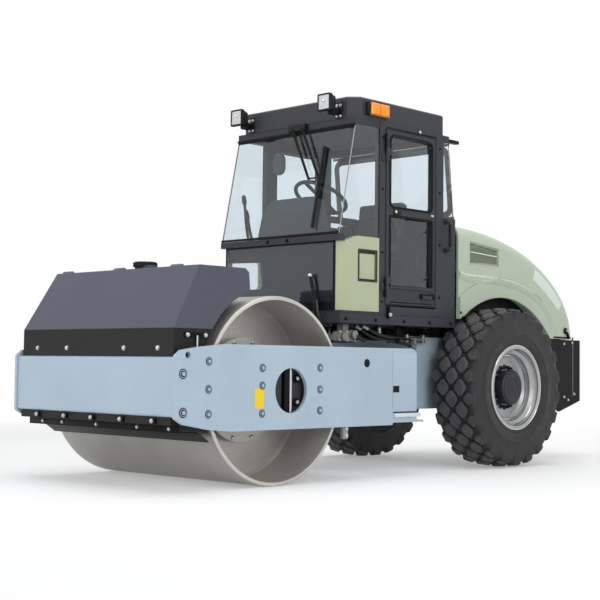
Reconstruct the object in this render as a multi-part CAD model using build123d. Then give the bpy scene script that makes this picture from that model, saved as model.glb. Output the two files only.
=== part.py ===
from build123d import *
from math import cos, radians, sin, sqrt
import os

# Single-drum road roller with a cab, in millimetres.
# X points forward to the drum, Y to the machine's left, Z up from the ground.
# The origin is on the ground, halfway along the machine and on its centreline.

# Layout along the machine
wheelbase = 2550
front_overhang = 884
rear_overhang = 1310
pivot_ahead_of_axle = 1000
drum_x = (front_overhang + wheelbase + rear_overhang) / 2 - front_overhang
axle_x = drum_x - wheelbase
rear_x = axle_x - rear_overhang
front_x = drum_x + front_overhang
pivot_x = axle_x + pivot_ahead_of_axle

# Clearances
running_fit = 0.05
seat_gap = 0.3
joint_gap = 0.3

# Drum
drum_diameter = 1220
drum_width = 1600
drum_wall = 25
drum_web_depth = 375
drum_web_wall = 25
drum_r = drum_diameter / 2
drum_z = drum_r
web_outer_y = drum_width / 2 - drum_web_depth
buffer_ring_r = 255
buffer_r = 42
buffer_length = 40
buffer_count = 8
flange_r = 345
flange_wall = 20
drum_shaft_r = 70
drum_shaft_length = 235
drum_edge = 6

# Front frame
drum_side_gap = 15
plate_wall = 25
plate_top_z = 902
plate_bottom_z = 364
plate_nose_top_z = 824
plate_nose_bottom_z = 453
plate_tail_gap = 173
plate_tail_bottom_z = 442
plate_notch_length = 262
plate_corner_r = 26
plate_hole_r = 145
plate_hole_back = 95
plate_hole_z = 612
slot_hole_back = 839
slot_hole_z = 796
lock_hole_size = 46
lock_hole_ahead = 216
plate_in_y = drum_width / 2 + drum_side_gap
plate_out_y = plate_in_y + plate_wall
plate_rear_x = pivot_x + plate_tail_gap
beam_set_back = 10
beam_depth = 95
beam_wall = 15
beam_low_z = 457
beam_high_z = 820
beam_corner_r = 22
cross_depth = 117
cross_wall = 22
cross_low_z = 450
cross_high_z = 858

# Drum carriers
carrier_pad_front = 165
carrier_pad_back = 365
carrier_pad_width = 80
carrier_pad_low_z = 430
carrier_pad_high_z = 810
carrier_pad_depth = 42
carrier_wall = 35
bearing_r = 132
bearing_length = 110

# Scrapers
scraper_gap = 8
scraper_rubber = 14
scraper_bar_height = 48
scraper_half_width = 780
front_bar_depth = 85
rear_bar_depth = 60
rear_bar_low_z = 410
rear_bar_high_z = 470
rear_bar_behind_drum = 215
scraper_run_x = 225
scraper_run_z = 75
scraper_angle = -24

# Water tank over the front of the drum
tank_front_back = 30
tank_crease_z = 993
tank_top_z = 1388
tank_top_front = 620
tank_rear = 205
tank_drum_gap = 55
tank_half_width = 785
tank_top_half_width = 745
cap_r = 58
cap_height = 38
cap_x_from_drum = 420
cap_y = 0

# Steps behind the side plates
step_drop = 62
step_wall = 14
step_width = 190
step_overhang = 80

# Articulation
knuckle_low_z = 500
knuckle_high_z = 800
knuckle_r = 88
kingpin_r = 40
fork_wall = 40
fork_r = 92
trunnion_r = 60
trunnion_z = 650
nut_r = 88
nut_length = 40

# Steering cylinders
arm_reach_x = 65
arm_reach_y = 185
arm_wall = 20
cylinder_z = 630
eye_height = 60
eye_r = 34
barrel_pin_back = 470
barrel_pin_y = 158
barrel_pin_r = 18
barrel_r = 36
barrel_length = 320
rod_r = 17
rod_length = 385

# Rear frame
frame_half_width = 430
frame_wall = 20
frame_top_z = 1000
frame_axle_z = 740
frame_low_z = 450
frame_front_back = 280
frame_deep_length = 300
frame_slope_length = 120
frame_tail_length = 360
frame_tail_rise = 20
fork_root_half = 220
rail_width = 80
rail_height = 40
rail_ahead = 850
deck_wall = 20
deck_top_z = 780

# Rear axle and wheels
tyre_diameter = 1240
tyre_width = 378
tyre_sides = 32
lug_pitches = 16
lug_depth = 26
lug_half_length = 96
lug_half_width = 68
lug_column = 80
lug_draft = 0.86
lug_root = 25
shoulder_lug_drop = 70
crown_drop = 10
crown_half_width = 25
rim_diameter = 610
track = 1424
rim_half_width = 165
rim_flange = 12
rim_flange_height = 27
rim_wall = 15
disc_depth = 118
disc_wall = 14
hub_r = 133
hub_drum_r = 178
hub_proud = 84
hub_in_y = 512
axle_tube_r = 95
axle_half_length = 500
axle_flange_r = 150
spindle_r = 70
spindle_length = 90
differential_r = 135
axle_z = tyre_diameter / 2
wheel_y = track / 2

# Engine and bumper
engine_ahead = 200
engine_length = 820
engine_half_width = 280
engine_height = 770
bumper_half_width = 640
bumper_top_z = 1013
bumper_rear_low_z = 492
bumper_front_low_z = 405
bumper_length = 450
bumper_wall = 20
weight_depth = 110

# Cab
cab_rear_ahead = 430
rear_quarter_length = 150
cab_length = 1340
cab_half_width = 610
cab_wall = 50
cab_base_z = 1075
floor_top_z = 1165
sill_low_z = 1655
sill_high_z = 1700
glass_top_z = 2500
roof_ring_height = 50
roof_height = 156
roof_half_width = 600
roof_chamfer = 75
screen_lean = 170
rear_lean = 75
pillar_b_back = 440
pillar_b_width = 70
door_top_over_glass = 18
door_low_z = 1215
door_wall = 45
door_gap = 6
pillar_c_width = 90
rear_wall_top_z = 1915
glass_wall = 8
glass_step = 25
window_radius = 45
sill_depth = 65
door_frame = 48
door_bar_low_z = 1875
door_bar_high_z = 1940
door_glass_low_z = 1360
corner_cut = 45
corner_slope_back = 183
corner_window_low = 190
corner_window_drop = 70
recess_in = 26
recess_length = 199
recess_low = 217
recess_height = 221
recess_depth = 18
mount_r = 45
hinge_r = 14
hinge_pin_r = 7
hinge_length = 50
roof_low_z = glass_top_z + roof_ring_height
roof_high_z = roof_low_z + roof_height
door_top_z = glass_top_z + door_top_over_glass
cab_rear_x = axle_x + cab_rear_ahead
cab_front_x = cab_rear_x + cab_length
roof_front_x = cab_front_x - screen_lean
roof_rear_x = cab_rear_x + rear_lean
pillar_b_x = cab_front_x - pillar_b_back
door_front_x = pillar_b_x - pillar_b_width
pillar_c_x = cab_rear_x + rear_quarter_length
door_rear_x = pillar_c_x + pillar_c_width
cab_in_y = cab_half_width - cab_wall
sill_back_x = cab_front_x - sill_depth - 5
corner_knee_x = cab_front_x - glass_step - corner_slope_back
hinge_x = door_front_x

# Cab fittings
lamp_size = 125
lamp_rim = 20
lamp_depth = 78
lamp_back_size = 84
lamp_corner_r = 12
lamp_bracket_width = 60
lamp_bracket_wall = 8
lamp_y = 455
lamp_below_roof_top = 58
lamp_ahead = 165
lamp_z = roof_high_z - lamp_below_roof_top
indicator_length = 200
indicator_height = 88
indicator_depth = 48
indicator_back = 140
indicator_corner_r = 16
handle_r = 11
handle_reach = 45
handle_back = 120
handle_bottom = 250
handle_top = 30
handle_corner_r = 20
wiper_r = 6
wiper_ahead = 22
wiper_joint_drop = 374
wiper_joint_y = 345
wiper_spacing = 98
wiper_pivot_y = 8
blade_width = 14
blade_top_drop = 141
blade_low_rise = 53
wiper_joint_z = glass_top_z - wiper_joint_drop
blade_top_z = glass_top_z - blade_top_drop
blade_low_z = sill_high_z + blade_low_rise
motor_half_width = 82
motor_y = 53
seat_x = -1715
seat_width = 480
seat_length = 440
seat_thick = 110
seat_top_z = 1740
seat_foot_half_length = 200
seat_foot_height = 250
seat_post_half_length = 165
seat_pan_wall = 25
seat_back_height = 330
seat_back_thick = 110
seat_back_lean = 12
console_half_width = 200
console_top_z = 2010
console_depth = 190
console_behind_screen = 110
cowl_half_width = 310
cowl_top_half_width = 235
cowl_depth = 138
cowl_low_z = 1250
cowl_shoulder_z = 1730
cowl_corner_r = 60
steering_wheel_r = 200
steering_rim_r = 15
steering_wheel_z = 2045
steering_wheel_back = 465
steering_tilt = 30
steering_column = 400

# Hood
hood_gap = 30
hood_base_z = 1020
hood_height = 868
hood_half_width = 620
hood_wall = 20
hood_shoulder = 120
hood_rear_in = 32
hood_hinge_r = 13
hood_hinge_pin_r = 7
hood_hinge_in = 15
hood_hinge_z = 1034
hood_hinge_y = 330
hood_hinge_length = 70
tyre_clear = 40
arch_r = 885
arch_back = 170
arch_z = 450
arch_front_gap = 108
flare_r = 1035
flare_top_z = 1492
flare_proud = 22
grille_front_in = 145
grille_length = 385
grille_low_z = 1585
grille_high_z = 1755
grille_wall = 14
slat_count = 9
hood_front_x = cab_rear_x - hood_gap
hood_length = hood_front_x - rear_x - hood_rear_in


def block(x, y, z):
    """A box between two limits on each axis."""
    size = (abs(x[1] - x[0]), abs(y[1] - y[0]), abs(z[1] - z[0]))
    return Pos((x[0] + x[1]) / 2, (y[0] + y[1]) / 2, (z[0] + z[1]) / 2) * Box(*size)


def rounded(points, radius, sharp=()):
    """A flat face through the points, with its corners rounded, apart from the sharp ones."""
    face = Polygon(*points, align=None)
    kept = [Vector(*point) for point in sharp]
    soft = [v for v in face.vertices() if all((Vector(v) - point).length > 1 for point in kept)]
    return fillet(soft, radius) if radius else face


def plate_y(points, y, radius=0, sharp=()):
    """A plate with an outline in X and Z, between two limits on Y."""
    face = Pos(0, min(y), 0) * (Plane.XZ * rounded(points, radius, sharp))
    return extrude(face, amount=abs(y[1] - y[0]), dir=(0, 1, 0))


def plate_x(points, x, radius=0):
    """A plate with an outline in Y and Z, between two limits on X."""
    face = Pos(min(x), 0, 0) * (Plane.YZ * rounded(points, radius))
    return extrude(face, amount=abs(x[1] - x[0]), dir=(1, 0, 0))


def plate_z(points, z, radius=0):
    """A plate with an outline in X and Y, between two limits on Z."""
    return extrude(Pos(0, 0, min(z)) * rounded(points, radius), amount=abs(z[1] - z[0]), dir=(0, 0, 1))


def turned_y(points, x, z):
    """A body turned about an axle along Y; the outline gives radius and place on Y."""
    return Pos(x, 0, z) * revolve(Polygon(*points, align=None), Axis.Y)


def rod_x(radius, x, y, z):
    """A round bar along X."""
    return Pos((x[0] + x[1]) / 2, y, z) * Rot(0, 90, 0) * Cylinder(radius, abs(x[1] - x[0]))


def rod_y(radius, x, y, z):
    """A round bar along Y."""
    return Pos(x, (y[0] + y[1]) / 2, z) * Rot(90, 0, 0) * Cylinder(radius, abs(y[1] - y[0]))


def rod_z(radius, x, y, z):
    """A round bar along Z."""
    return Pos(x, y, (z[0] + z[1]) / 2) * Cylinder(radius, abs(z[1] - z[0]))


def rod_between(radius, start, end):
    """A round bar from one point to another."""
    line = Line(start, end)
    return extrude(Plane(origin=line @ 0, z_dir=line % 0) * Circle(radius), amount=line.length)


def faceted(rings):
    """A solid of flat faces: two end polygons joined corner by corner."""
    low, high = rings
    faces = [Face(Wire.make_polygon(low)), Face(Wire.make_polygon(high))]
    for here, after in zip(range(len(low)), [*range(1, len(low)), 0]):
        faces.append(Face(Wire.make_polygon([low[here], low[after], high[after], high[here]])))
    return Solid(Shell(faces))


def window(x, y, z, radius=window_radius):
    """A cutter for a window with rounded corners in a side wall."""
    return plate_y([(x[0], z[0]), (x[1], z[0]), (x[1], z[1]), (x[0], z[1])], y, radius)


def other_side(solid):
    """The same piece on the machine's right."""
    return mirror(solid, about=Plane.XZ)


def both_sides(solid):
    """A piece on the left together with its twin on the right."""
    return solid + other_side(solid)


# Drum

def drum():
    shell_in = drum_r - drum_wall
    half = drum_width / 2
    outline = [(shell_in, -half), (drum_r - drum_edge, -half), (drum_r, drum_edge - half),
               (drum_r, half - drum_edge), (drum_r - drum_edge, half), (shell_in, half)]
    shell = turned_y(outline, drum_x, drum_z)
    web_in_y = web_outer_y - drum_web_wall
    web = turned_y([(0, web_in_y), (shell_in, web_in_y), (shell_in, web_outer_y), (0, web_outer_y)],
                   drum_x, drum_z)
    return shell + both_sides(web)


def drum_buffers():
    buffers = []
    for step in range(buffer_count):
        angle = radians(360 * step / buffer_count)
        x = drum_x + buffer_ring_r * cos(angle)
        z = drum_z + buffer_ring_r * sin(angle)
        puck = rod_y(buffer_r, x, (web_outer_y, web_outer_y + buffer_length), z)
        buffers += [puck, other_side(puck)]
    return Compound(children=buffers)


def drum_flanges():
    flange_y = web_outer_y + buffer_length
    outline = [(0, flange_y), (flange_r, flange_y), (flange_r, flange_y + flange_wall),
               (drum_shaft_r, flange_y + flange_wall), (drum_shaft_r, flange_y + drum_shaft_length),
               (0, flange_y + drum_shaft_length)]
    return both_sides(turned_y(outline, drum_x, drum_z))


# Front frame

def side_plate():
    outline = [
        (front_x, plate_nose_bottom_z), (front_x, plate_nose_top_z), (front_x - 45, plate_nose_top_z + 36),
        (front_x - 170, plate_top_z - 22), (front_x - 400, plate_top_z), (plate_rear_x + 50, plate_top_z),
        (plate_rear_x, plate_top_z - 30), (plate_rear_x, plate_tail_bottom_z),
        (plate_rear_x + plate_notch_length, plate_tail_bottom_z),
        (plate_rear_x + plate_notch_length, plate_bottom_z),
        (front_x - 450, plate_bottom_z), (front_x - 265, plate_bottom_z + 16),
        (front_x - 66, plate_bottom_z + 52)]
    notch = [point for point in outline if point[0] <= plate_rear_x + plate_notch_length and point[1] < drum_z]
    plate = plate_y(outline, (plate_in_y, plate_out_y), plate_corner_r, notch)
    cut_y = (plate_in_y - 1, plate_out_y + 1)
    hole = rod_y(plate_hole_r, drum_x - plate_hole_back, cut_y, plate_hole_z)
    slot = rod_y(22, drum_x - slot_hole_back, cut_y, slot_hole_z)
    lifting = rod_y(20, front_x - 97, cut_y, plate_nose_top_z + 7)
    lock_x = plate_rear_x + lock_hole_ahead
    lock = block((lock_x, lock_x + lock_hole_size), cut_y, (drum_z - 15, drum_z - 15 + lock_hole_size))
    return plate - hole - slot - lifting - lock


def front_beam():
    face_x = front_x - beam_set_back
    beam = block((face_x - beam_depth, face_x), (-plate_in_y, plate_in_y), (beam_low_z, beam_high_z))
    beam = fillet(beam.edges().filter_by(Axis.Y).sort_by(Axis.X)[-2:], beam_corner_r)
    pocket = block((face_x - beam_depth - 1, face_x - beam_wall), (-plate_in_y - 1, plate_in_y + 1),
                   (beam_low_z + beam_wall, beam_high_z - beam_wall))
    return beam - pocket


def rear_crossmember():
    x = (plate_rear_x, plate_rear_x + cross_depth)
    beam = block(x, (-plate_in_y, plate_in_y), (cross_low_z, cross_high_z))
    pocket = block((x[0] + cross_wall, x[1] + 1), (-plate_in_y - 1, plate_in_y + 1),
                   (cross_low_z + cross_wall, cross_high_z - cross_wall))
    boss = rod_x(trunnion_r * 2, x, 0, trunnion_z)
    bore = rod_x(trunnion_r + running_fit, (x[0] - 1, x[1] + 1), 0, trunnion_z)
    return beam - pocket + boss - bore


def drum_carriers():
    pad_y = (plate_in_y - carrier_pad_depth, plate_in_y)
    plate = (pad_y[0] - carrier_wall, pad_y[0])
    half = carrier_pad_width / 2
    low, high = carrier_pad_low_z, carrier_pad_high_z
    left, right = drum_x - carrier_pad_back - half, drum_x + carrier_pad_front + half
    carrier = plate_y([(left, low), (right, low), (right, high), (left, high)], plate, 30)
    for middle in (drum_x - carrier_pad_back, drum_x + carrier_pad_front):
        carrier += block((middle - half, middle + half), pad_y, (low + 5, high - 5))
    carrier += rod_y(bearing_r, drum_x, (plate[0] - bearing_length, plate[0]), drum_z)
    shaft_end = web_outer_y + buffer_length + drum_shaft_length
    bore = rod_y(drum_shaft_r + running_fit, drum_x, (plate[0] - bearing_length - 1, shaft_end + 1), drum_z)
    return both_sides(carrier - bore)


def scraper(side):
    """A rubber strip on a bar; side is 1 ahead of the drum and -1 behind it."""
    reach = drum_r + scraper_gap
    tip_x = reach * cos(radians(scraper_angle))
    tip_z = reach * sin(radians(scraper_angle))
    end_x, end_z = tip_x + scraper_run_x, tip_z + scraper_run_z
    strip = [(tip_x, tip_z), (end_x, end_z), (end_x, end_z + scraper_rubber),
             (tip_x + scraper_rubber, tip_z + scraper_rubber * 1.3)]
    outline = [(drum_x + side * x, drum_z + z) for x, z in strip]
    return plate_y(outline, (-scraper_half_width, scraper_half_width))


def scraper_front():
    bar_x = front_x - beam_set_back - beam_depth
    bar = block((bar_x, bar_x + front_bar_depth), (-scraper_half_width, scraper_half_width),
                (beam_low_z - scraper_bar_height, beam_low_z))
    return bar + scraper(1)


def scraper_rear():
    blade = scraper(-1)
    bar_x = drum_x - drum_r - rear_bar_behind_drum
    bar = block((bar_x, bar_x + rear_bar_depth), (-plate_in_y, plate_in_y), (rear_bar_low_z, rear_bar_high_z))
    return bar + blade


def tank_side_cut():
    """What the leaning sides of the tank leave off, on the left."""
    lean = [(tank_half_width, tank_crease_z), (tank_half_width + 200, tank_crease_z),
            (tank_half_width + 200, tank_top_z + 100), (tank_top_half_width, tank_top_z + 100),
            (tank_top_half_width, tank_top_z)]
    return plate_x(lean, (drum_x, front_x))


def drum_clearance():
    return rod_y(drum_r + tank_drum_gap, drum_x, (-plate_out_y, plate_out_y), drum_z)


def tank_cover():
    nose_x = front_x - tank_front_back
    rear = drum_x + tank_rear
    outline = [(nose_x, tank_crease_z), (drum_x + tank_top_front, tank_top_z), (rear + 30, tank_top_z),
               (rear, tank_top_z - 25), (rear, tank_crease_z)]
    tank = plate_y(outline, (-tank_half_width, tank_half_width))
    side = tank_side_cut()
    cap = rod_z(cap_r, drum_x + cap_x_from_drum, cap_y, (tank_top_z - tank_front_back, tank_top_z + cap_height))
    return tank - side - other_side(side) - drum_clearance() + cap


def tank_base():
    nose_x = front_x - tank_front_back
    base = block((drum_x + tank_rear, nose_x), (-tank_half_width, tank_half_width),
                 (beam_high_z, tank_crease_z))
    return base - drum_clearance()


def front_steps():
    low = plate_tail_bottom_z - step_drop
    top = low + step_wall
    x1 = plate_rear_x + plate_notch_length
    tread = block((plate_rear_x - step_overhang, x1), (plate_out_y - step_width, plate_out_y), (low, top))
    riser = block((plate_rear_x, x1), (plate_in_y, plate_out_y), (top, plate_tail_bottom_z))
    return both_sides(tread + riser)


# Articulation and steering

def knuckle():
    body = rod_z(knuckle_r, pivot_x, 0, (knuckle_low_z + joint_gap, knuckle_high_z - joint_gap))
    pin = rod_z(kingpin_r, pivot_x, 0, (knuckle_low_z - fork_wall - 12, knuckle_high_z + fork_wall + 12))
    neck = rod_x(trunnion_r * 1.45, (pivot_x, plate_rear_x - joint_gap), 0, trunnion_z)
    trunnion = rod_x(trunnion_r, (pivot_x, plate_rear_x + cross_depth + joint_gap), 0, trunnion_z)
    nut_x = plate_rear_x + cross_depth + joint_gap
    nut = rod_x(nut_r, (nut_x, nut_x + nut_length), 0, trunnion_z)
    return body + pin + neck + trunnion + nut + both_sides(steering_arm())


def steering_arm():
    """Two flat arms that take the rod's eye between them."""
    half_gap = eye_height / 2 + joint_gap
    tip = (pivot_x + arm_reach_x, arm_reach_y)
    arms = None
    for low in (cylinder_z + half_gap, cylinder_z - half_gap - arm_wall):
        bar = plate_z([(pivot_x - 50, 0), (pivot_x + 70, 0), (tip[0] + 34, tip[1]), (tip[0] - 34, tip[1])],
                      (low, low + arm_wall))
        arm = bar + rod_z(eye_r, tip[0], tip[1], (low, low + arm_wall))
        arms = arm if arms is None else arms + arm
    return arms


def cylinder_line():
    """The pin behind, the rod's eye ahead, and the unit vector between them, on the left."""
    pin = (pivot_x - barrel_pin_back, barrel_pin_y)
    eye = (pivot_x + arm_reach_x, arm_reach_y)
    length = sqrt((eye[0] - pin[0]) ** 2 + (eye[1] - pin[1]) ** 2)
    return pin, eye, ((eye[0] - pin[0]) / length, (eye[1] - pin[1]) / length), length


def along_cylinder(radius, start, end):
    """A round bar on the cylinder's line, between two distances from the pin."""
    pin, _, way, _ = cylinder_line()
    place = Plane(origin=(pin[0] + way[0] * start, pin[1] + way[1] * start, cylinder_z),
                  z_dir=(way[0], way[1], 0))
    return extrude(place * Circle(radius), amount=end - start)


def steering_barrel():
    pin = cylinder_line()[0]
    eye = rod_z(eye_r, pin[0], pin[1], (cylinder_z - eye_height / 2, cylinder_z + eye_height / 2))
    neck = along_cylinder(barrel_r * 0.6, eye_r * 0.8, eye_r + 15)
    barrel = eye + neck + along_cylinder(barrel_r, eye_r + 12, barrel_length)
    bore = along_cylinder(rod_r + running_fit, eye_r + 20, barrel_length + 1)
    pin_bore = rod_z(barrel_pin_r + running_fit, pin[0], pin[1], (cylinder_z - 50, cylinder_z + 50))
    return barrel - bore - pin_bore


def steering_rod():
    _, eye, _, length = cylinder_line()
    end = rod_z(eye_r, eye[0], eye[1], (cylinder_z - eye_height / 2, cylinder_z + eye_height / 2))
    return end + along_cylinder(rod_r, length - rod_length, length)


# Rear frame, axle and wheels

def frame_side():
    front = pivot_x - frame_front_back
    rear = rear_x + bumper_wall
    deep = front - frame_deep_length
    tail_z = bumper_rear_low_z + frame_tail_rise
    tail_x = rear + frame_tail_length
    outline = [(front, frame_top_z), (rear, frame_top_z), (rear, tail_z), (tail_x, tail_z),
               (tail_x + frame_slope_length, frame_axle_z), (deep - frame_slope_length, frame_axle_z),
               (deep, frame_low_z), (front, frame_low_z)]
    return plate_y(outline, (frame_half_width - frame_wall, frame_half_width))


def fork(low):
    """One ear of the fork that holds the kingpin."""
    front = pivot_x - frame_front_back
    root_x = front - frame_wall / 4
    outline = [(root_x, -fork_root_half), (pivot_x, -fork_r), (pivot_x, fork_r), (root_x, fork_root_half)]
    ear = plate_z(outline, (low, low + fork_wall)) + rod_z(fork_r, pivot_x, 0, (low, low + fork_wall))
    return ear - rod_z(kingpin_r + running_fit, pivot_x, 0, (low - 1, low + fork_wall + 1))


def cylinder_lugs():
    """The plates on the crossmember that hold the barrel's pin, on the left."""
    pin = cylinder_line()[0]
    half_gap = eye_height / 2 + joint_gap
    wall_x = pin[0] - eye_r - 30
    lugs = rod_z(barrel_pin_r, pin[0], pin[1], (cylinder_z - half_gap - 20, cylinder_z + half_gap + 20))
    for low in (cylinder_z + half_gap, cylinder_z - half_gap - arm_wall):
        lugs += block((wall_x, pin[0]), (pin[1] - eye_r, pin[1] + eye_r), (low, low + arm_wall))
        lugs += rod_z(eye_r, pin[0], pin[1], (low, low + arm_wall))
    return lugs


def rear_frame():
    inner = frame_half_width - frame_wall
    front = pivot_x - frame_front_back
    across = (-inner, inner)
    frame = both_sides(frame_side())
    frame += block((front - frame_wall, front), across, (knuckle_high_z - 20, frame_top_z))
    frame += block((front - frame_wall, front), across, (frame_low_z, knuckle_low_z + 20))
    frame += fork(knuckle_high_z) + fork(knuckle_low_z - fork_wall)
    wall_x = cylinder_line()[0][0] - eye_r - 30
    frame += block((wall_x - frame_wall, wall_x), across, (frame_low_z, frame_top_z))
    frame += both_sides(cylinder_lugs())
    deck_x = (axle_x + engine_ahead - engine_length - 60, axle_x + engine_ahead + 60)
    frame += block(deck_x, across, (deck_top_z - deck_wall, deck_top_z))
    rail = block((front - 60, pivot_x - frame_front_back + rail_ahead),
                 (frame_half_width - rail_width, frame_half_width), (frame_top_z - rail_height, frame_top_z))
    return frame + both_sides(rail)


def rear_axle():
    axle = rod_y(axle_tube_r, axle_x, (-axle_half_length, axle_half_length), axle_z)
    axle += Pos(axle_x, 0, axle_z) * Sphere(differential_r)
    end = rod_y(axle_flange_r, axle_x, (axle_half_length - 25, axle_half_length), axle_z)
    end += rod_y(spindle_r, axle_x, (axle_half_length, axle_half_length + spindle_length), axle_z)
    pad_y = (frame_half_width - frame_wall - 30, frame_half_width)
    end += block((axle_x - 90, axle_x + 90), pad_y, (axle_z + 40, frame_axle_z))
    return axle + both_sides(end)


def wheel_point(angle, radius, y):
    """A point on the left wheel, by its angle, its radius and its place across the tread."""
    return (axle_x + radius * cos(radians(angle)), wheel_y + y, axle_z + radius * sin(radians(angle)))


def carcass():
    """The tyre without its lugs, as a ring of flat faces."""
    half = tyre_width / 2
    tread_r = tyre_diameter / 2 - lug_depth
    flat_to_corner = 1 / cos(radians(180 / tyre_sides))
    seat = (rim_diameter / 2 + seat_gap) * flat_to_corner
    flange_top = (rim_diameter / 2 + rim_flange_height + seat_gap) * flat_to_corner
    edge = rim_half_width - seat_gap
    wall = [(seat, -edge), (flange_top, -edge), (flange_top + 45, 6 - half), (tread_r - 95, -half),
            (tread_r - lug_root, 14 - half), (tread_r - crown_drop, -lug_column * 1.4),
            (tread_r, -crown_half_width)]
    outline = wall + [(r, -y) for r, y in reversed(wall)]
    faces = []
    for (r1, y1), (r2, y2) in zip(outline, outline[1:] + outline[:1]):
        for step in range(tyre_sides):
            low, high = 360 * step / tyre_sides, 360 * (step + 1) / tyre_sides
            faces.append(Face(Wire.make_polygon([wheel_point(low, r1, y1), wheel_point(high, r1, y1),
                                                 wheel_point(high, r2, y2), wheel_point(low, r2, y2)])))
    return Solid(Shell(faces))


def lug(angle, outline, low_r, high_r):
    """A block of tread; the outline gives each corner along and across the tread."""
    middle = sum(across for _, across in outline) / len(outline)
    along_x, along_z = -sin(radians(angle)), cos(radians(angle))
    rings = []
    for radius, share in ((low_r, 1), (high_r, lug_draft)):
        ring = []
        for along, across in outline:
            x, y, z = wheel_point(angle, radius, middle + (across - middle) * share)
            ring.append((x + along * share * along_x, y, z + along * share * along_z))
        rings.append(ring)
    return faceted(rings)


def tyre():
    half = tyre_width / 2
    crown = tyre_diameter / 2
    low = crown - lug_depth - lug_root
    length, width = lug_half_length, lug_half_width
    diamond = [(length, 0), (0, width), (-length, 0), (0, -width)]
    lugs = []
    for step in range(lug_pitches):
        angle = 360 * step / lug_pitches - 90
        between = angle + 180 / lug_pitches
        lugs.append(lug(angle, diamond, low, crown))
        for side in (-1, 1):
            column = [(along, across + side * lug_column) for along, across in diamond]
            lugs.append(lug(between, column, low, crown - crown_drop * 0.6))
            inner = side * (2 * lug_column - width)
            edge, knee = side * (half - 1), side * (2 * lug_column - 10)
            shoulder = [(0, inner), (length * 0.75, knee), (length * 0.62, edge), (-length * 0.62, edge),
                        (-length * 0.75, knee)]
            lugs.append(lug(angle, shoulder, low + lug_root - shoulder_lug_drop, crown - crown_drop * 1.6))
    return carcass().fuse(*lugs)


def rim():
    seat = rim_diameter / 2
    edge = rim_half_width
    lip = edge + rim_flange
    inner = seat - rim_wall
    disc_out = lip - disc_depth
    outline = [(inner, -lip), (seat + rim_flange_height, -lip), (seat + rim_flange_height, -edge),
               (seat, -edge), (seat, edge), (seat + rim_flange_height, edge),
               (seat + rim_flange_height, lip), (seat - 4, lip), (inner, edge - 20),
               (inner - 28, edge - 45), (inner - 28, edge - 75), (inner - 60, disc_out),
               (hub_r + seat_gap, disc_out), (hub_r + seat_gap, disc_out - disc_wall),
               (inner - 45, disc_out - disc_wall), (inner - 30, disc_out - 60), (inner, disc_out - 80)]
    return Pos(0, wheel_y, 0) * turned_y(outline, axle_x, axle_z)


def hub():
    disc_back = wheel_y + rim_half_width + rim_flange - disc_depth - disc_wall
    cap_y = disc_back + disc_wall + hub_proud
    spindle_end = axle_half_length + spindle_length
    bore = spindle_r + running_fit
    outline = [(bore, hub_in_y), (hub_drum_r, hub_in_y), (hub_drum_r + 10, disc_back), (hub_r, disc_back),
               (hub_r, cap_y - 12), (hub_r - 14, cap_y), (0, cap_y), (0, spindle_end + 5),
               (bore, spindle_end + 5)]
    return turned_y(outline, axle_x, axle_z)


def engine():
    front = axle_x + engine_ahead
    return block((front - engine_length, front), (-engine_half_width, engine_half_width),
                 (deck_top_z, deck_top_z + engine_height))


def bumper():
    front = rear_x + bumper_length
    wing = plate_y([(rear_x, bumper_top_z), (front, bumper_top_z), (front, bumper_front_low_z + 60),
                    (front - 130, bumper_front_low_z), (rear_x, bumper_rear_low_z)],
                   (bumper_half_width - bumper_wall, bumper_half_width))
    back = block((rear_x, rear_x + bumper_wall), (-bumper_half_width + bumper_wall,
                 bumper_half_width - bumper_wall), (bumper_rear_low_z, bumper_top_z))
    outer = (frame_half_width, bumper_half_width - bumper_wall)
    weight = block((rear_x + bumper_wall, rear_x + bumper_wall + weight_depth), outer,
                   (bumper_rear_low_z, bumper_top_z))
    pin_x = rear_x + hood_hinge_in
    pin_y = (hood_hinge_y - 40, hood_hinge_y + hood_hinge_length + 40)
    hinge = rod_y(hood_hinge_pin_r, pin_x, pin_y, hood_hinge_z)
    for y in ((pin_y[0], hood_hinge_y - joint_gap), (pin_y[1] - 40 + joint_gap, pin_y[1])):
        hinge += rod_y(hood_hinge_r, pin_x, y, hood_hinge_z)
        hinge += block((rear_x + 2, rear_x + bumper_wall), y, (bumper_top_z, hood_hinge_z))
    return back + both_sides(wing + weight + hinge)


# Cab

def cab_floor():
    front_x = cab_front_x - glass_step
    floor = block((cab_rear_x, front_x), (-cab_half_width, cab_half_width), (cab_base_z, floor_top_z))
    floor += block((front_x - cab_wall, front_x), (-cab_in_y, cab_in_y), (floor_top_z, floor_top_z + 60))
    front = pivot_x - frame_front_back + rail_ahead - 60
    for x in (front, cab_rear_x + 90):
        floor += both_sides(rod_z(mount_r, x, frame_half_width - 50, (frame_top_z, cab_base_z)))
    return floor


def side_wall_left():
    """The fixed parts of the left wall: pillars, sill and the box behind the door."""
    y = (cab_in_y, cab_half_width)
    wall = block((pillar_b_x - pillar_b_width, pillar_b_x), y, (floor_top_z, roof_low_z))
    wall += block((pillar_c_x, door_rear_x), y, (floor_top_z, roof_low_z))
    wall += block((cab_rear_x, pillar_c_x), y, (floor_top_z, rear_wall_top_z))
    wall += block((pillar_c_x, pillar_b_x), y, (door_top_z + door_gap, roof_low_z))
    return wall


def door_outline(grow=0):
    return [(door_front_x + grow, door_low_z - grow), (door_rear_x - grow, door_low_z - grow),
            (door_rear_x - grow, door_top_z + grow), (door_front_x + grow, door_top_z + grow)]


def door_windows(y):
    """Cutters for the door's two windows."""
    x = (door_rear_x + door_frame, door_front_x - door_frame)
    upper = window(x, y, (door_bar_high_z, door_top_z - door_frame))
    lower = window(x, y, (door_glass_low_z, door_bar_low_z), 12)
    return upper + lower


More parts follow.
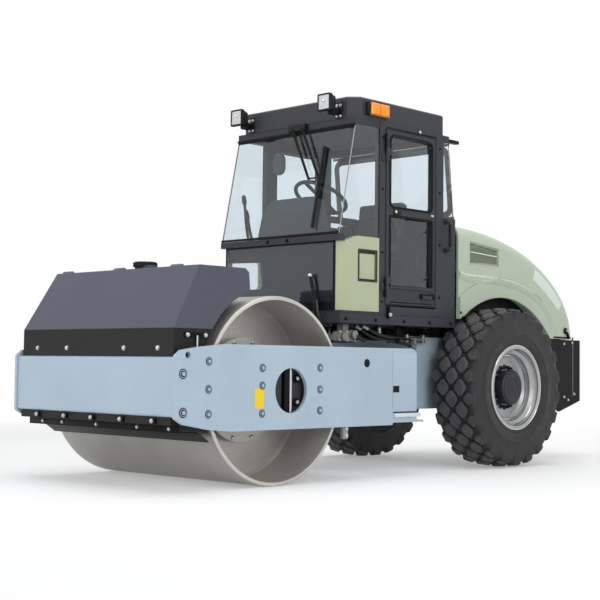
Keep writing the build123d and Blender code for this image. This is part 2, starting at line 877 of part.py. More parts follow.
def cab_frame():
    wall_y = (cab_in_y, cab_half_width)
    left = side_wall_left()
    right = other_side(left)
    fixed = block((door_rear_x, door_front_x), wall_y, (floor_top_z, door_top_z + door_gap))
    fixed -= door_windows((cab_in_y - 1, cab_half_width + 1))
    frame = left + right + other_side(fixed)
    threshold = block((door_rear_x, door_front_x), wall_y, (floor_top_z, door_low_z - door_gap))
    frame += threshold + door_hinge_pins()
    frame += block((cab_rear_x, cab_rear_x + cab_wall), (-cab_in_y, cab_in_y), (floor_top_z, rear_wall_top_z))
    full_y = (-cab_half_width, cab_half_width)
    frame += block((sill_back_x, sill_back_x + sill_depth), full_y, (sill_low_z, sill_high_z))
    opening = plate_y(door_outline(door_gap / 2), (cab_in_y - 1, cab_half_width + 1))
    ring = block((roof_rear_x + 2, roof_front_x - 2), (-cab_half_width + 4, cab_half_width - 4),
                 (glass_top_z, roof_low_z))
    hole = block((roof_rear_x + 70, roof_front_x - 70), (-cab_in_y, cab_in_y),
                 (glass_top_z - 1, roof_low_z + 1))
    return frame + (ring - hole - opening) + both_sides(grab_handle())


def cab_roof():
    c = roof_chamfer
    y = roof_half_width
    outline = [(roof_front_x, y - c), (roof_front_x - c, y), (roof_rear_x + c, y), (roof_rear_x, y - c),
               (roof_rear_x, c - y), (roof_rear_x + c, -y), (roof_front_x - c, -y), (roof_front_x, c - y)]
    slab = plate_z(outline, (roof_low_z, roof_high_z))
    return chamfer(slab.faces().sort_by(Axis.Z)[-1].edges(), 12)


def slanted_pane(low_x, high_x, low_z, high_z, y):
    """A pane that leans along X from its lower edge to its upper edge."""
    thick = glass_wall
    return plate_y([(low_x, low_z), (high_x, high_z), (high_x - thick, high_z), (low_x - thick, low_z)], y)


def windscreen():
    y = (-cab_half_width + 6, cab_half_width - 6)
    upper = slanted_pane(cab_front_x - 10, roof_front_x - 4, sill_high_z, glass_top_z, y)
    front = cab_front_x - glass_step
    lower_half = cab_half_width - corner_cut - seat_gap
    lower = block((front, front + glass_wall), (-lower_half, lower_half), (floor_top_z, sill_low_z))
    return Compound(children=[upper, lower])


def cab_glass():
    y = (cab_half_width - 6 - glass_wall, cab_half_width - 6)
    lean = (screen_lean - 6) / (glass_top_z - sill_high_z)
    front_low = cab_front_x - 10 - glass_wall - seat_gap
    front_high = front_low - lean * (glass_top_z - sill_high_z)
    back_low = sill_back_x - seat_gap
    front_side = plate_y([(front_low, sill_high_z), (front_high, glass_top_z), (pillar_b_x, glass_top_z),
                          (pillar_b_x, sill_high_z), (corner_knee_x, sill_high_z), (back_low, sill_low_z),
                          (back_low, sill_high_z)], y)
    rear_low = cab_rear_x + 14
    rear_high = roof_rear_x + 4
    rear = plate_y([(rear_low, rear_wall_top_z), (rear_high, glass_top_z),
                    (rear_high + glass_wall, glass_top_z), (rear_low + glass_wall, rear_wall_top_z)],
                   (-y[1], y[1]))
    rear_side = plate_y([(rear_low + glass_wall + seat_gap, rear_wall_top_z),
                         (rear_high + glass_wall + seat_gap, glass_top_z),
                         (pillar_c_x, glass_top_z), (pillar_c_x, rear_wall_top_z)], y)
    middle = (cab_in_y + 20, cab_in_y + 20 + glass_wall)
    right_panes = other_side(door_windows(middle))
    panes = [front_side, other_side(front_side), rear, rear_side, other_side(rear_side), corner_window(middle)]
    return Compound(children=panes + list(right_panes.solids()))


def corner_window(y):
    """A cutter for the window low in the right front corner."""
    low = window((pillar_b_x + 40, cab_front_x - 85), y,
                 (floor_top_z + corner_window_low, sill_low_z - corner_window_drop))
    return other_side(low)


def corner_panels():
    front = cab_front_x - glass_step - seat_gap
    outline = [(pillar_b_x, floor_top_z), (front, floor_top_z), (front, sill_low_z),
               (sill_back_x - seat_gap, sill_low_z), (corner_knee_x, sill_high_z), (pillar_b_x, sill_high_z)]
    left = plate_y(outline, (cab_in_y, cab_half_width))
    cut = plate_z([(front - corner_cut, cab_half_width), (front + 1, cab_half_width - corner_cut - 1),
                   (front + 1, cab_half_width + 1)], (floor_top_z - 1, sill_high_z + 1))
    left -= cut
    recess_x = pillar_b_x + recess_in
    recess_z = floor_top_z + recess_low
    recess = block((recess_x, recess_x + recess_length), (cab_half_width - recess_depth, cab_half_width + 1),
                   (recess_z, recess_z + recess_height))
    right = other_side(left)
    return (left - recess) + (right - corner_window((cab_in_y - 1, cab_half_width + 1)))


def door_hinge_heights():
    return (door_low_z + 160, door_top_z - 200)


def door_hinge_pins():
    """The pins and their straps on the pillar."""
    pins = None
    y = cab_half_width + hinge_r
    for low in door_hinge_heights():
        knuckle_part = rod_z(hinge_r, hinge_x, y, (low - hinge_length, low))
        strap = block((hinge_x, hinge_x + 50), (cab_half_width, cab_half_width + 8), (low - hinge_length, low))
        pin = rod_z(hinge_pin_r, hinge_x, y, (low, low + hinge_length))
        piece = knuckle_part + strap + pin
        pins = piece if pins is None else pins + piece
    return pins


def door_hinge_eyes():
    """The door's own half of each hinge."""
    eyes = None
    y = cab_half_width + hinge_r
    for low in door_hinge_heights():
        z = (low + joint_gap, low + joint_gap + hinge_length)
        strap = block((hinge_x - 60, hinge_x), (cab_half_width, cab_half_width + 8), z)
        eye = rod_z(hinge_r, hinge_x, y, z) + strap
        eye -= rod_z(hinge_pin_r + running_fit, hinge_x, y, (z[0] - 1, z[1] + 1))
        eyes = eye if eyes is None else eyes + eye
    return eyes


def door():
    y = (cab_half_width - door_wall, cab_half_width)
    leaf = plate_y(door_outline(-door_gap), y)
    leaf -= door_windows((y[0] - 1, y[1] + 1))
    leaf += door_hinge_eyes()
    handle_x = door_rear_x + door_frame + 20
    handle = block((handle_x, handle_x + 110), (cab_half_width, cab_half_width + 22),
                   (door_low_z + 62, door_low_z + 88))
    return leaf + handle


def door_glass():
    middle = cab_half_width - door_wall / 2
    return door_windows((middle - glass_wall / 2, middle + glass_wall / 2))


def grab_handle():
    """The rail on the left rear corner, with its feet on the wall."""
    x = cab_rear_x + handle_back
    low, high = rear_wall_top_z - handle_bottom, rear_wall_top_z - handle_top
    y = cab_half_width
    path = FilletPolyline((x, y, low), (x, y + handle_reach, low), (x, y + handle_reach, high),
                          (x, y, high), radius=handle_corner_r)
    return sweep(Plane(origin=(x, y, low), z_dir=(0, 1, 0)) * Circle(handle_r), path)


def work_lamp():
    """A lamp ahead of the roof's corner on a bent bracket, on the left."""
    x = roof_front_x + lamp_ahead
    rim_face = Plane(origin=(x - lamp_rim, lamp_y, lamp_z), z_dir=(1, 0, 0)) * RectangleRounded(
        lamp_size, lamp_size, lamp_corner_r)
    corners = ((-1, -1), (1, -1), (1, 1), (-1, 1))
    rings = [[(place, lamp_y + half * across, lamp_z + half * up) for across, up in corners]
             for place, half in ((x - lamp_depth, lamp_back_size / 2), (x - lamp_rim / 2, lamp_size / 2 - 4))]
    lamp = extrude(rim_face, amount=lamp_rim) + faceted(rings)
    half = lamp_bracket_width / 2
    low = lamp_z - lamp_size / 2 - lamp_bracket_wall
    y = (lamp_y - half, lamp_y + half)
    back = x - lamp_depth + lamp_bracket_wall
    lamp += block((roof_front_x, back), y, (low, low + lamp_bracket_wall))
    lamp += block((roof_front_x, roof_front_x + lamp_bracket_wall), y, (roof_low_z + 5, roof_high_z - 40))
    return lamp + block((back - lamp_bracket_wall, back), y, (low, lamp_z))


def work_lamps():
    return both_sides(work_lamp())


def indicators():
    x = roof_front_x - indicator_back
    middle = (roof_low_z + roof_high_z) / 2
    lamp = block((x - indicator_length, x), (roof_half_width, roof_half_width + indicator_depth),
                 (middle - indicator_height / 2, middle + indicator_height / 2))
    outer = lamp.faces().sort_by(Axis.Y)[-1]
    return both_sides(fillet(outer.edges(), indicator_corner_r))


def screen_x(z):
    """How far forward the wiper lies at a height, just ahead of the leaning screen."""
    lean = (screen_lean - 6) / (glass_top_z - sill_high_z)
    return cab_front_x - 10 - lean * (z - sill_high_z) + wiper_ahead


def wipers():
    motor_low = glass_top_z + 4
    front = roof_front_x + wiper_ahead + wiper_r + 2
    motor = block((roof_front_x, front), (motor_y - motor_half_width, motor_y + motor_half_width),
                  (motor_low, roof_low_z))
    joint = (screen_x(wiper_joint_z), wiper_joint_y, wiper_joint_z)
    rear_joint = (screen_x(wiper_joint_z), wiper_joint_y - wiper_spacing, wiper_joint_z)
    pivot_z = (motor_low + roof_low_z) / 2
    piece = motor + rod_between(wiper_r, rear_joint, joint)
    for end, y in ((rear_joint, wiper_pivot_y), (joint, wiper_pivot_y + wiper_spacing)):
        piece += rod_between(wiper_r, (roof_front_x + wiper_ahead, y, pivot_z), end)
        piece += rod_x(wiper_r * 1.6, (end[0] - wiper_r * 1.4, end[0] + wiper_r * 1.6), end[1], end[2])
    half = blade_width / 2
    blade = [(screen_x(blade_low_z) - half, blade_low_z), (screen_x(blade_low_z) + half, blade_low_z),
             (screen_x(blade_top_z) + half, blade_top_z), (screen_x(blade_top_z) - half, blade_top_z)]
    return piece + plate_y(blade, (wiper_joint_y, wiper_joint_y + blade_width))


# Seat and controls

def seat_base():
    x = drum_x + seat_x
    half = seat_foot_half_length
    foot_top = floor_top_z + seat_foot_height
    foot = block((x - half, x + half), (-half, half), (floor_top_z, foot_top))
    pan_z = seat_top_z - seat_thick - seat_gap
    inner = seat_post_half_length
    post = block((x - inner, x + inner), (-inner, inner), (foot_top, pan_z - seat_pan_wall))
    pan = block((x - seat_length / 2 - 35, x + seat_length / 2 - 30), (-half + 10, half - 10),
                (pan_z - seat_pan_wall, pan_z))
    behind = block((-seat_back_thick - seat_pan_wall - seat_gap, -seat_back_thick - seat_gap), (-inner, inner),
                   (-seat_thick - 15, seat_back_height - 80))
    return foot + post + pan + seat_back_place() * behind


def seat_back_place():
    """Where the backrest stands, leaning back from its lower front edge."""
    x = drum_x + seat_x - seat_length / 2 + seat_back_thick - 30
    raised = seat_back_thick * sin(radians(seat_back_lean)) + seat_gap
    return Pos(x, 0, seat_top_z + raised) * Rot(0, -seat_back_lean, 0)


def seat_pads():
    x = drum_x + seat_x
    half = seat_width / 2
    cushion = block((x - seat_length / 2, x + seat_length / 2), (-half, half), (seat_top_z - seat_thick, seat_top_z))
    back = block((-seat_back_thick, 0), (-half, half), (0, seat_back_height))
    return Compound(children=[fillet(cushion.edges(), 20), seat_back_place() * fillet(back.edges(), 20)])


def console_side(depth, half_width):
    """The console's side view, with a sloped front, across a width."""
    front = cab_front_x - console_behind_screen
    outline = [(front, floor_top_z), (front, console_top_z - 120), (front - 60, console_top_z),
               (front - depth, console_top_z - 20), (front - depth, floor_top_z)]
    return plate_y(outline, (-half_width, half_width))


def console():
    front = cab_front_x - console_behind_screen
    wide, top = cowl_half_width, cowl_top_half_width
    across = [(-top, cowl_low_z), (top, cowl_low_z), (wide, cowl_shoulder_z), (top, console_top_z),
              (-top, console_top_z), (-wide, cowl_shoulder_z)]
    cowl = console_side(cowl_depth, cowl_half_width) & plate_x(across, (front - cowl_depth, front), cowl_corner_r)
    return console_side(console_depth, console_half_width) + cowl


def steering_wheel():
    centre = (cab_front_x - steering_wheel_back, 0, steering_wheel_z)
    place = Pos(*centre) * Rot(0, -steering_tilt, 0)
    ring = place * Torus(steering_wheel_r, steering_rim_r)
    spoke = place * Box(steering_wheel_r * 2, 30, 14)
    hub_disc = place * Cylinder(45, 50)
    column = place * Pos(0, 0, -steering_column / 2) * Cylinder(28, steering_column)
    return ring + spoke + hub_disc + (column - console())


# Hood

def hood_body(inset):
    """The hood's outer or inner form: an oval side view with rounded shoulders."""
    half = hood_half_width - inset
    oval = Plane.XZ * Ellipse(hood_length - inset, hood_height - inset)
    form = Pos(hood_front_x, half, hood_base_z) * extrude(oval, amount=2 * half)
    return fillet(form.edges().filter_by(GeomType.ELLIPSE), hood_shoulder - inset)


def arch_cutter(radius, y):
    return rod_y(radius, axle_x - arch_back, y, arch_z)


def hood_flare():
    """The raised band round the wheel arch, on the left."""
    y = (hood_half_width - 5, hood_half_width + flare_proud)
    slab = block((rear_x, hood_front_x), y, (hood_base_z, flare_top_z))
    return slab & arch_cutter(flare_r, (y[0] - 1, y[1] + 1))


def grille_box(y, grow=0):
    front = hood_front_x - grille_front_in
    return plate_y([(front + grow, grille_low_z - grow), (front + grow, grille_high_z + grow),
                    (front - grille_length - grow, grille_high_z - 35 + grow),
                    (front - grille_length - grow, grille_low_z - grow)], y)


def hood_hinge_eye():
    """The hood's half of its hinge, on the left."""
    x = rear_x + hood_hinge_in
    y = (hood_hinge_y, hood_hinge_y + hood_hinge_length)
    tab = block((x, rear_x + hood_rear_in + hood_wall / 2), y, (hood_hinge_z - 8, hood_hinge_z + 8))
    eye = rod_y(hood_hinge_r, x, y, hood_hinge_z) + tab
    return eye - rod_y(hood_hinge_pin_r + running_fit, x, (y[0] - 1, y[1] + 1), hood_hinge_z)


def hood():
    shell = hood_body(0) - hood_body(hood_wall)
    keep = block((rear_x - 10, hood_front_x), (-hood_half_width - 50, hood_half_width + 50),
                 (hood_base_z, hood_base_z + hood_height + 10))
    shell = shell & keep
    shell += both_sides(hood_flare())
    side_y = (hood_half_width - hood_shoulder, hood_half_width + flare_proud + 1)
    front_limit = hood_front_x - arch_front_gap
    opening = arch_cutter(arch_r, side_y) & block((rear_x, front_limit), side_y, (0, hood_base_z + hood_height))
    opening += rod_y(tyre_diameter / 2 + tyre_clear, axle_x, side_y, axle_z)
    vents = grille_box((hood_half_width - hood_wall - 1, hood_half_width + 5))
    return shell - both_sides(opening) - both_sides(vents) + both_sides(hood_hinge_eye())


def hood_grilles():
    y = (hood_half_width - hood_wall, hood_half_width - hood_wall + grille_wall)
    panel = grille_box(y, -seat_gap)
    pitch = (grille_high_z - grille_low_z - 40) / slat_count
    front = hood_front_x - grille_front_in
    for step in range(slat_count):
        z = grille_low_z + 12 + pitch * step
        panel -= block((front - grille_length + 14, front - 14), (y[0] - 1, y[1] + 1), (z, z + pitch * 0.5))
    return both_sides(panel)


parts = {
    "drum": drum,
    "drum_buffers": drum_buffers,
    "drum_flanges": drum_flanges,
    "side_plate_left": side_plate,
    "side_plate_right": lambda: other_side(side_plate()),
    "front_beam": front_beam,
    "rear_crossmember": rear_crossmember,
    "drum_carriers": drum_carriers,
    "scraper_front": scraper_front,
    "scraper_rear": scraper_rear,
    "tank_cover": tank_cover,
    "tank_base": tank_base,
    "front_steps": front_steps,
    "knuckle": knuckle,
    "steering_barrel_left": steering_barrel,
    "steering_barrel_right": lambda: other_side(steering_barrel()),
    "steering_rod_left": steering_rod,
    "steering_rod_right": lambda: other_side(steering_rod()),
    "rear_frame": rear_frame,
    "rear_axle": rear_axle,
    "tyre_left": tyre,
    "tyre_right": lambda: other_side(tyre()),
    "rim_left": rim,
    "rim_right": lambda: other_side(rim()),
    "hub_left": hub,
    "hub_right": lambda: other_side(hub()),
    "engine": engine,
    "bumper": bumper,
    "cab_floor": cab_floor,
    "cab_frame": cab_frame,
    "cab_roof": cab_roof,
    "windscreen": windscreen,
    "cab_glass": cab_glass,
    "corner_panels": corner_panels,
    "door": door,
    "door_glass": door_glass,
    "work_lamps": work_lamps,
    "indicators": indicators,
    "wipers": wipers,
    "seat_base": seat_base,
    "seat_pads": seat_pads,
    "console": console,
    "steering_wheel": steering_wheel,
    "hood": hood,
    "hood_grilles": hood_grilles,
}

os.makedirs("parts", exist_ok=True)
for name, make in parts.items():
    export_step(make(), f"parts/{name}.step")
    print("made", name)
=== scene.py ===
# %% [markdown]
# # Dressing a road roller
# The machine is a single-drum soil compactor: a smooth steel drum in a blue-grey frame ahead,
# a glazed cab, and an oval engine hood between two rubber-tyred wheels behind.
# Its solid pieces come ready from the CAD model as a frame.
# This lesson gives them their paint, steel, rubber and glass, and adds bolts, seals, lamps,
# hoses and tyre lugs as meshes of their own, each riding on the body that carries it.

# %% Load the frame
import math
import random
import bmesh
import bpy
from mathutils import Matrix, Vector
from mathutils.bvhtree import BVHTree


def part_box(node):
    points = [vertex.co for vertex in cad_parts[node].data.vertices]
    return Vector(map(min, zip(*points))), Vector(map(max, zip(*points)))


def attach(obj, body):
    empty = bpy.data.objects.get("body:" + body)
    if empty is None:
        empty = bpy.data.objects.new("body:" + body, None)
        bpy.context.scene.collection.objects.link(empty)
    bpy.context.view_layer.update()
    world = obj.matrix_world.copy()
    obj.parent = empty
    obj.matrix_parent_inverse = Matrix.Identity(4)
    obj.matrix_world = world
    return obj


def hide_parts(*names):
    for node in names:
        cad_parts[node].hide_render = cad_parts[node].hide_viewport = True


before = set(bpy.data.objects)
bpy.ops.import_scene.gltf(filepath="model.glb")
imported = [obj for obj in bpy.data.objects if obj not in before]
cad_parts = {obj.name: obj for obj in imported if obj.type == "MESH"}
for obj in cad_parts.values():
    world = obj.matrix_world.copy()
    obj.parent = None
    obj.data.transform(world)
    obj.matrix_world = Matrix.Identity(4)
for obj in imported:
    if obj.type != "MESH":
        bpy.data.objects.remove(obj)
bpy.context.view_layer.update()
random.seed(7)

# %% [markdown]
# Places on the machine are read from the CAD boxes, so that a bolt stays on its plate when a size changes.
# X points forward, Y to the machine's left and Z up, in metres.
# Measured places in this script are given from the drum's axle, because that was easiest to measure.

# %% Landmarks
drum_low, drum_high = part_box("drum")
_, plate_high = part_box("side_plate_left")
tyre_low, tyre_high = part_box("tyre_left")
_, roof_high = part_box("cab_roof")
door_low, door_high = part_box("door")
bumper_low, bumper_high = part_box("bumper")
DRUM_X = (drum_low.x + drum_high.x) / 2
DRUM_Z = (drum_low.z + drum_high.z) / 2
DRUM_R = (drum_high.z - drum_low.z) / 2
AXLE_X = (tyre_low.x + tyre_high.x) / 2
AXLE_Z = (tyre_low.z + tyre_high.z) / 2
TYRE_R = (tyre_high.z - tyre_low.z) / 2
WHEEL_Y = (tyre_low.y + tyre_high.y) / 2
PLATE_Y = plate_high.y
SIDES = (("left", 1), ("right", -1))
print("drum axle", round(DRUM_X, 3), "wheel axle", round(AXLE_X, 3))


def from_drum(x, y, z):
    """A place given from the drum's axle, in the frame's own coordinates."""
    return Vector((DRUM_X + x, y, z))


# %% [markdown]
# # Finishes
# Every finish is a small node tree. Paint on real sheet metal is never one flat colour:
# it clouds slightly, has a fine orange-peel skin, and rounds over each edge.
# Noise gives the first two, and a Bevel node rounds the edges in the shading,
# which leaves the CAD meshes untouched. Colours are written as they'd be read from a picture, 0 to 255.

# %% Node helpers
def picture_colour(red, green, blue):
    """A colour as read from a picture, turned into the linear values that shaders use."""
    def linear(value):
        share = value / 255
        return share / 12.92 if share <= 0.04045 else ((share + 0.055) / 1.055) ** 2.4
    return (linear(red), linear(green), linear(blue), 1.0)


class Tree:
    """A material's node tree with short ways to add and join nodes."""

    def __init__(self, name):
        self.material = bpy.data.materials.new(name)
        self.material.use_nodes = True
        self.nodes = self.material.node_tree.nodes
        self.links = self.material.node_tree.links
        self.shader = self.nodes["Principled BSDF"]
        self.output = self.nodes["Material Output"]
        self.coords = self.nodes.new("ShaderNodeTexCoord").outputs["Object"]

    def join(self, source, target):
        self.links.new(source, target)

    def noise(self, scale, detail=3.0, vector=None, roughness=0.5):
        node = self.nodes.new("ShaderNodeTexNoise")
        node.inputs["Scale"].default_value = scale
        node.inputs["Detail"].default_value = detail
        node.inputs["Roughness"].default_value = roughness
        self.join(vector or self.coords, node.inputs["Vector"])
        return node.outputs["Fac"]

    def ramp(self, source, low, high, start=0.3, end=0.7):
        """Maps a grey value onto a span of values or colours."""
        node = self.nodes.new("ShaderNodeMapRange")
        node.inputs["From Min"].default_value = start
        node.inputs["From Max"].default_value = end
        node.inputs["To Min"].default_value = low
        node.inputs["To Max"].default_value = high
        self.join(source, node.inputs["Value"])
        return node.outputs["Result"]

    def math(self, operation, first, second=None):
        node = self.nodes.new("ShaderNodeMath")
        node.operation = operation
        for socket, value in zip(node.inputs, (first, second)):
            if value is None:
                continue
            if isinstance(value, (int, float)):
                socket.default_value = value
            else:
                self.join(value, socket)
        return node.outputs[0]

    def blend(self, share, first, second):
        """A colour between two, by a grey value."""
        node = self.nodes.new("ShaderNodeMix")
        node.data_type = "RGBA"
        self.join(share, node.inputs["Factor"])
        for socket, value in ((node.inputs[6], first), (node.inputs[7], second)):
            if isinstance(value, tuple):
                socket.default_value = value
            else:
                self.join(value, socket)
        return node.outputs[2]

    def shaded(self, colour, factor):
        return tuple(channel * factor for channel in colour[:3]) + (1.0,)

    def bump(self, height, distance, strength=1.0, soft_edge=0.0):
        """Raises the surface by a grey value, and rounds its edges in the shading."""
        node = self.nodes.new("ShaderNodeBump")
        node.inputs["Distance"].default_value = distance
        node.inputs["Strength"].default_value = strength
        self.join(height, node.inputs["Height"])
        if soft_edge:
            bevel = self.nodes.new("ShaderNodeBevel")
            bevel.samples = 4
            bevel.inputs["Radius"].default_value = soft_edge
            self.join(bevel.outputs["Normal"], node.inputs["Normal"])
        self.join(node.outputs["Normal"], self.shader.inputs["Normal"])


print("a grey read as 128 is", round(picture_colour(128, 128, 128)[0], 3), "to the shaders")

# %% [markdown]
# Most skins differ only in colour, gloss, metal and grain. One function mixes them all, so each finish
# is one line: paint and plastic cloud a little over a fine grain, castings are rougher,
# and zinc and bright rods are metal with hardly any grain.

# %% Paint, plastic and rubber
def coat_of(name, colour, rough=0.45, metal=0.0, cloud=0.06, peel=0.00004, grain=420.0, soft_edge=0.004, coat=0.0,
            gloss=0.5):
    """A painted or moulded skin: clouded colour, fine grain and rounded edges."""
    tree = Tree(name)
    base = picture_colour(*colour)
    wide = tree.noise(2.3, 4.0)
    fine = tree.noise(38.0, 3.0)
    share = tree.math("ADD", tree.math("MULTIPLY", wide, 0.7), tree.math("MULTIPLY", fine, 0.3))
    mixed = tree.blend(tree.ramp(share, 0.0, 1.0), tree.shaded(base, 1 - cloud), tree.shaded(base, 1 + cloud))
    tree.join(mixed, tree.shader.inputs["Base Color"])
    tree.join(tree.ramp(fine, rough - 0.05, rough + 0.05), tree.shader.inputs["Roughness"])
    tree.shader.inputs["Metallic"].default_value = metal
    tree.shader.inputs["Specular IOR Level"].default_value = gloss
    tree.shader.inputs["Coat Weight"].default_value = coat
    tree.shader.inputs["Coat Roughness"].default_value = 0.12
    tree.bump(tree.noise(grain, 2.0), peel, 1.0, soft_edge)
    return tree.material


frame_paint = coat_of("frame_paint", (168, 187, 202), 0.38, coat=0.15)
hood_paint = coat_of("hood_paint", (179, 193, 170), 0.32, cloud=0.015, peel=0.00001, coat=0.3)
panel_paint = coat_of("panel_paint", (175, 185, 150), 0.34, cloud=0.02, peel=0.00002, coat=0.2)
cab_paint = coat_of("cab_paint", (54, 56, 62), 0.44, peel=0.00012, gloss=0.22)
roof_paint = coat_of("roof_paint", (58, 59, 64), 0.5, peel=0.0002, gloss=0.25)
tank_skin = coat_of("tank_skin", (78, 81, 93), 0.5, cloud=0.08, peel=0.0005, grain=160.0, soft_edge=0.008, gloss=0.3)
band_rubber = coat_of("band_rubber", (28, 28, 29), 0.5, cloud=0.15, peel=0.0005, grain=120.0, soft_edge=0.006,
                      gloss=0.2)
black_steel = coat_of("black_steel", (13, 13, 15), 0.32, cloud=0.1, peel=0.0001, gloss=0.10)
hub_paint = coat_of("hub_paint", (40, 41, 44), 0.45, cloud=0.1, peel=0.0003, grain=160.0, gloss=0.3)
joint_grey = coat_of("joint_grey", (146, 154, 158), 0.4, cloud=0.04, soft_edge=0.001)
black_plastic = coat_of("black_plastic", (23, 23, 25), 0.5, peel=0.0002, soft_edge=0.003, gloss=0.22)
dash_plastic = coat_of("dash_plastic", (60, 67, 72), 0.55, cloud=0.04, peel=0.00006, soft_edge=0.006, gloss=0.25)
# Besides real rubber, this black finish is painted shade in holes, gaps, slots and round bolts.
black_rubber_and_painted_shade = coat_of("black_rubber_and_painted_shade", (17, 17, 18), 0.7, cloud=0.15, peel=0.0003, soft_edge=0.002, gloss=0.2)
cast_steel = coat_of("cast_steel", (150, 150, 146), 0.5, metal=0.3, cloud=0.22, peel=0.0008, grain=110.0)
# Besides real castings, this finish colours a disc of painted shade behind the plate's round hole.
cast_iron_and_painted_shade = coat_of("cast_iron_and_painted_shade", (62, 63, 65), 0.7, metal=0.2, cloud=0.2, peel=0.0012, grain=90.0, gloss=0.3)
zinc = coat_of("zinc", (196, 196, 192), 0.34, metal=0.85, cloud=0.08, soft_edge=0.001)
# Besides bright rods, this finish gives the rim's beads their painted highlights.
bright_steel = coat_of("bright_steel", (205, 205, 205), 0.16, metal=1.0, cloud=0.04, peel=0.00003, soft_edge=0.001)
label_yellow = coat_of("label_yellow", (240, 205, 20), 0.4, cloud=0.02, soft_edge=0.0)
inner_lining = coat_of("inner_lining", (82, 89, 94), 0.8, cloud=0.06, peel=0.0008, grain=260.0, gloss=0.2)
print("paints, rubbers and metals", len(bpy.data.materials))

# %% [markdown]
# The drum is turned steel, so its marks run round the axle. Object coordinates are turned into an angle
# and a radius about the axle, and noise that is stretched along the angle makes rings on the webs
# and fine bands round the shell. Glass lets lamp rays through by a Transparent shader,
# so that the seat behind it isn't black.

# %% Drum steel, glass and lamp lenses
def round_axle(tree, axle_x, axle_z):
    """Radius, angle and Y about an axle, from the object's own coordinates."""
    split = tree.nodes.new("ShaderNodeSeparateXYZ")
    tree.join(tree.coords, split.inputs[0])
    across = tree.math("SUBTRACT", split.outputs["X"], axle_x)
    up = tree.math("SUBTRACT", split.outputs["Z"], axle_z)
    radius = tree.math("SQRT", tree.math("ADD", tree.math("POWER", across, 2.0), tree.math("POWER", up, 2.0)))
    return radius, tree.math("ARCTAN2", up, across), split.outputs["Y"]


def turned_steel(name, colour, axle_x, axle_z, metal=0.5, shell_r=10.0, shell_shade=1.0):
    tree = Tree(name)
    radius, angle, along = round_axle(tree, axle_x, axle_z)
    ring = tree.nodes.new("ShaderNodeCombineXYZ")
    tree.join(tree.math("MULTIPLY", radius, 90.0), ring.inputs["X"])
    tree.join(tree.math("MULTIPLY", along, 90.0), ring.inputs["Y"])
    tree.join(tree.math("MULTIPLY", angle, 1.4), ring.inputs["Z"])
    marks = tree.noise(1.0, 5.0, ring.outputs[0], 0.65)
    cloud = tree.noise(3.1, 4.0)
    base = picture_colour(*colour)
    share = tree.math("ADD", tree.math("MULTIPLY", marks, 0.45), tree.math("MULTIPLY", cloud, 0.55))
    mixed = tree.blend(tree.ramp(share, 0.0, 1.0, 0.35, 0.65), tree.shaded(base, 0.86), tree.shaded(base, 1.12))
    # The outer shell takes a darker copy of the same steel, by shell_shade, as painted shade.
    rolled = tree.blend(tree.ramp(share, 0.0, 1.0, 0.35, 0.65), tree.shaded(base, 0.80 * shell_shade),
                        tree.shaded(base, 1.10 * shell_shade))
    on_shell = tree.math("GREATER_THAN", radius, shell_r)
    tree.join(tree.blend(on_shell, mixed, rolled), tree.shader.inputs["Base Color"])
    tree.join(tree.ramp(share, 0.34, 0.50), tree.shader.inputs["Roughness"])
    tree.shader.inputs["Metallic"].default_value = metal
    tree.bump(marks, 0.0003, 0.6, 0.003)
    return tree.material


def clear_glass(name, colour, tint=0.9):
    tree = Tree(name)
    smear = tree.ramp(tree.noise(5.0, 3.0), 0.0, 0.03)
    tree.join(smear, tree.shader.inputs["Roughness"])
    tree.join(tree.blend(smear, picture_colour(*colour), tree.shaded(picture_colour(*colour), tint)),
              tree.shader.inputs["Base Color"])
    tree.shader.inputs["Transmission Weight"].default_value = 1.0
    tree.shader.inputs["Specular IOR Level"].default_value = 0.2
    tree.shader.inputs["IOR"].default_value = 1.45
    lamp_ray = tree.nodes.new("ShaderNodeLightPath").outputs["Is Shadow Ray"]
    through = tree.nodes.new("ShaderNodeBsdfTransparent")
    through.inputs["Color"].default_value = tree.shaded(picture_colour(*colour), tint)
    mixed = tree.nodes.new("ShaderNodeMixShader")
    tree.join(lamp_ray, mixed.inputs["Fac"])
    tree.join(tree.shader.outputs[0], mixed.inputs[1])
    tree.join(through.outputs[0], mixed.inputs[2])
    tree.join(mixed.outputs[0], tree.output.inputs["Surface"])
    return tree.material


# The drum's outer shell is darkened to 0.70 as painted shade.
drum_steel = turned_steel("drum_steel", (200, 197, 191), DRUM_X, DRUM_Z, 0.5, DRUM_R - 0.003, 0.70)
rim_steel = turned_steel("rim_steel", (176, 177, 178), AXLE_X, AXLE_Z, 0.45)
cab_glass = clear_glass("cab_glass", (233, 240, 244))
amber_lens = coat_of("amber_lens", (255, 148, 8), 0.2, cloud=0.12, coat=0.25, soft_edge=0.006)
reflector = coat_of("reflector", (225, 228, 230), 0.12, metal=0.9, cloud=0.02)
print("steel, glass and lenses are mixed")

# %% [markdown]
# Each CAD node takes one finish. A dictionary from finish to nodes reads like a paint plan.

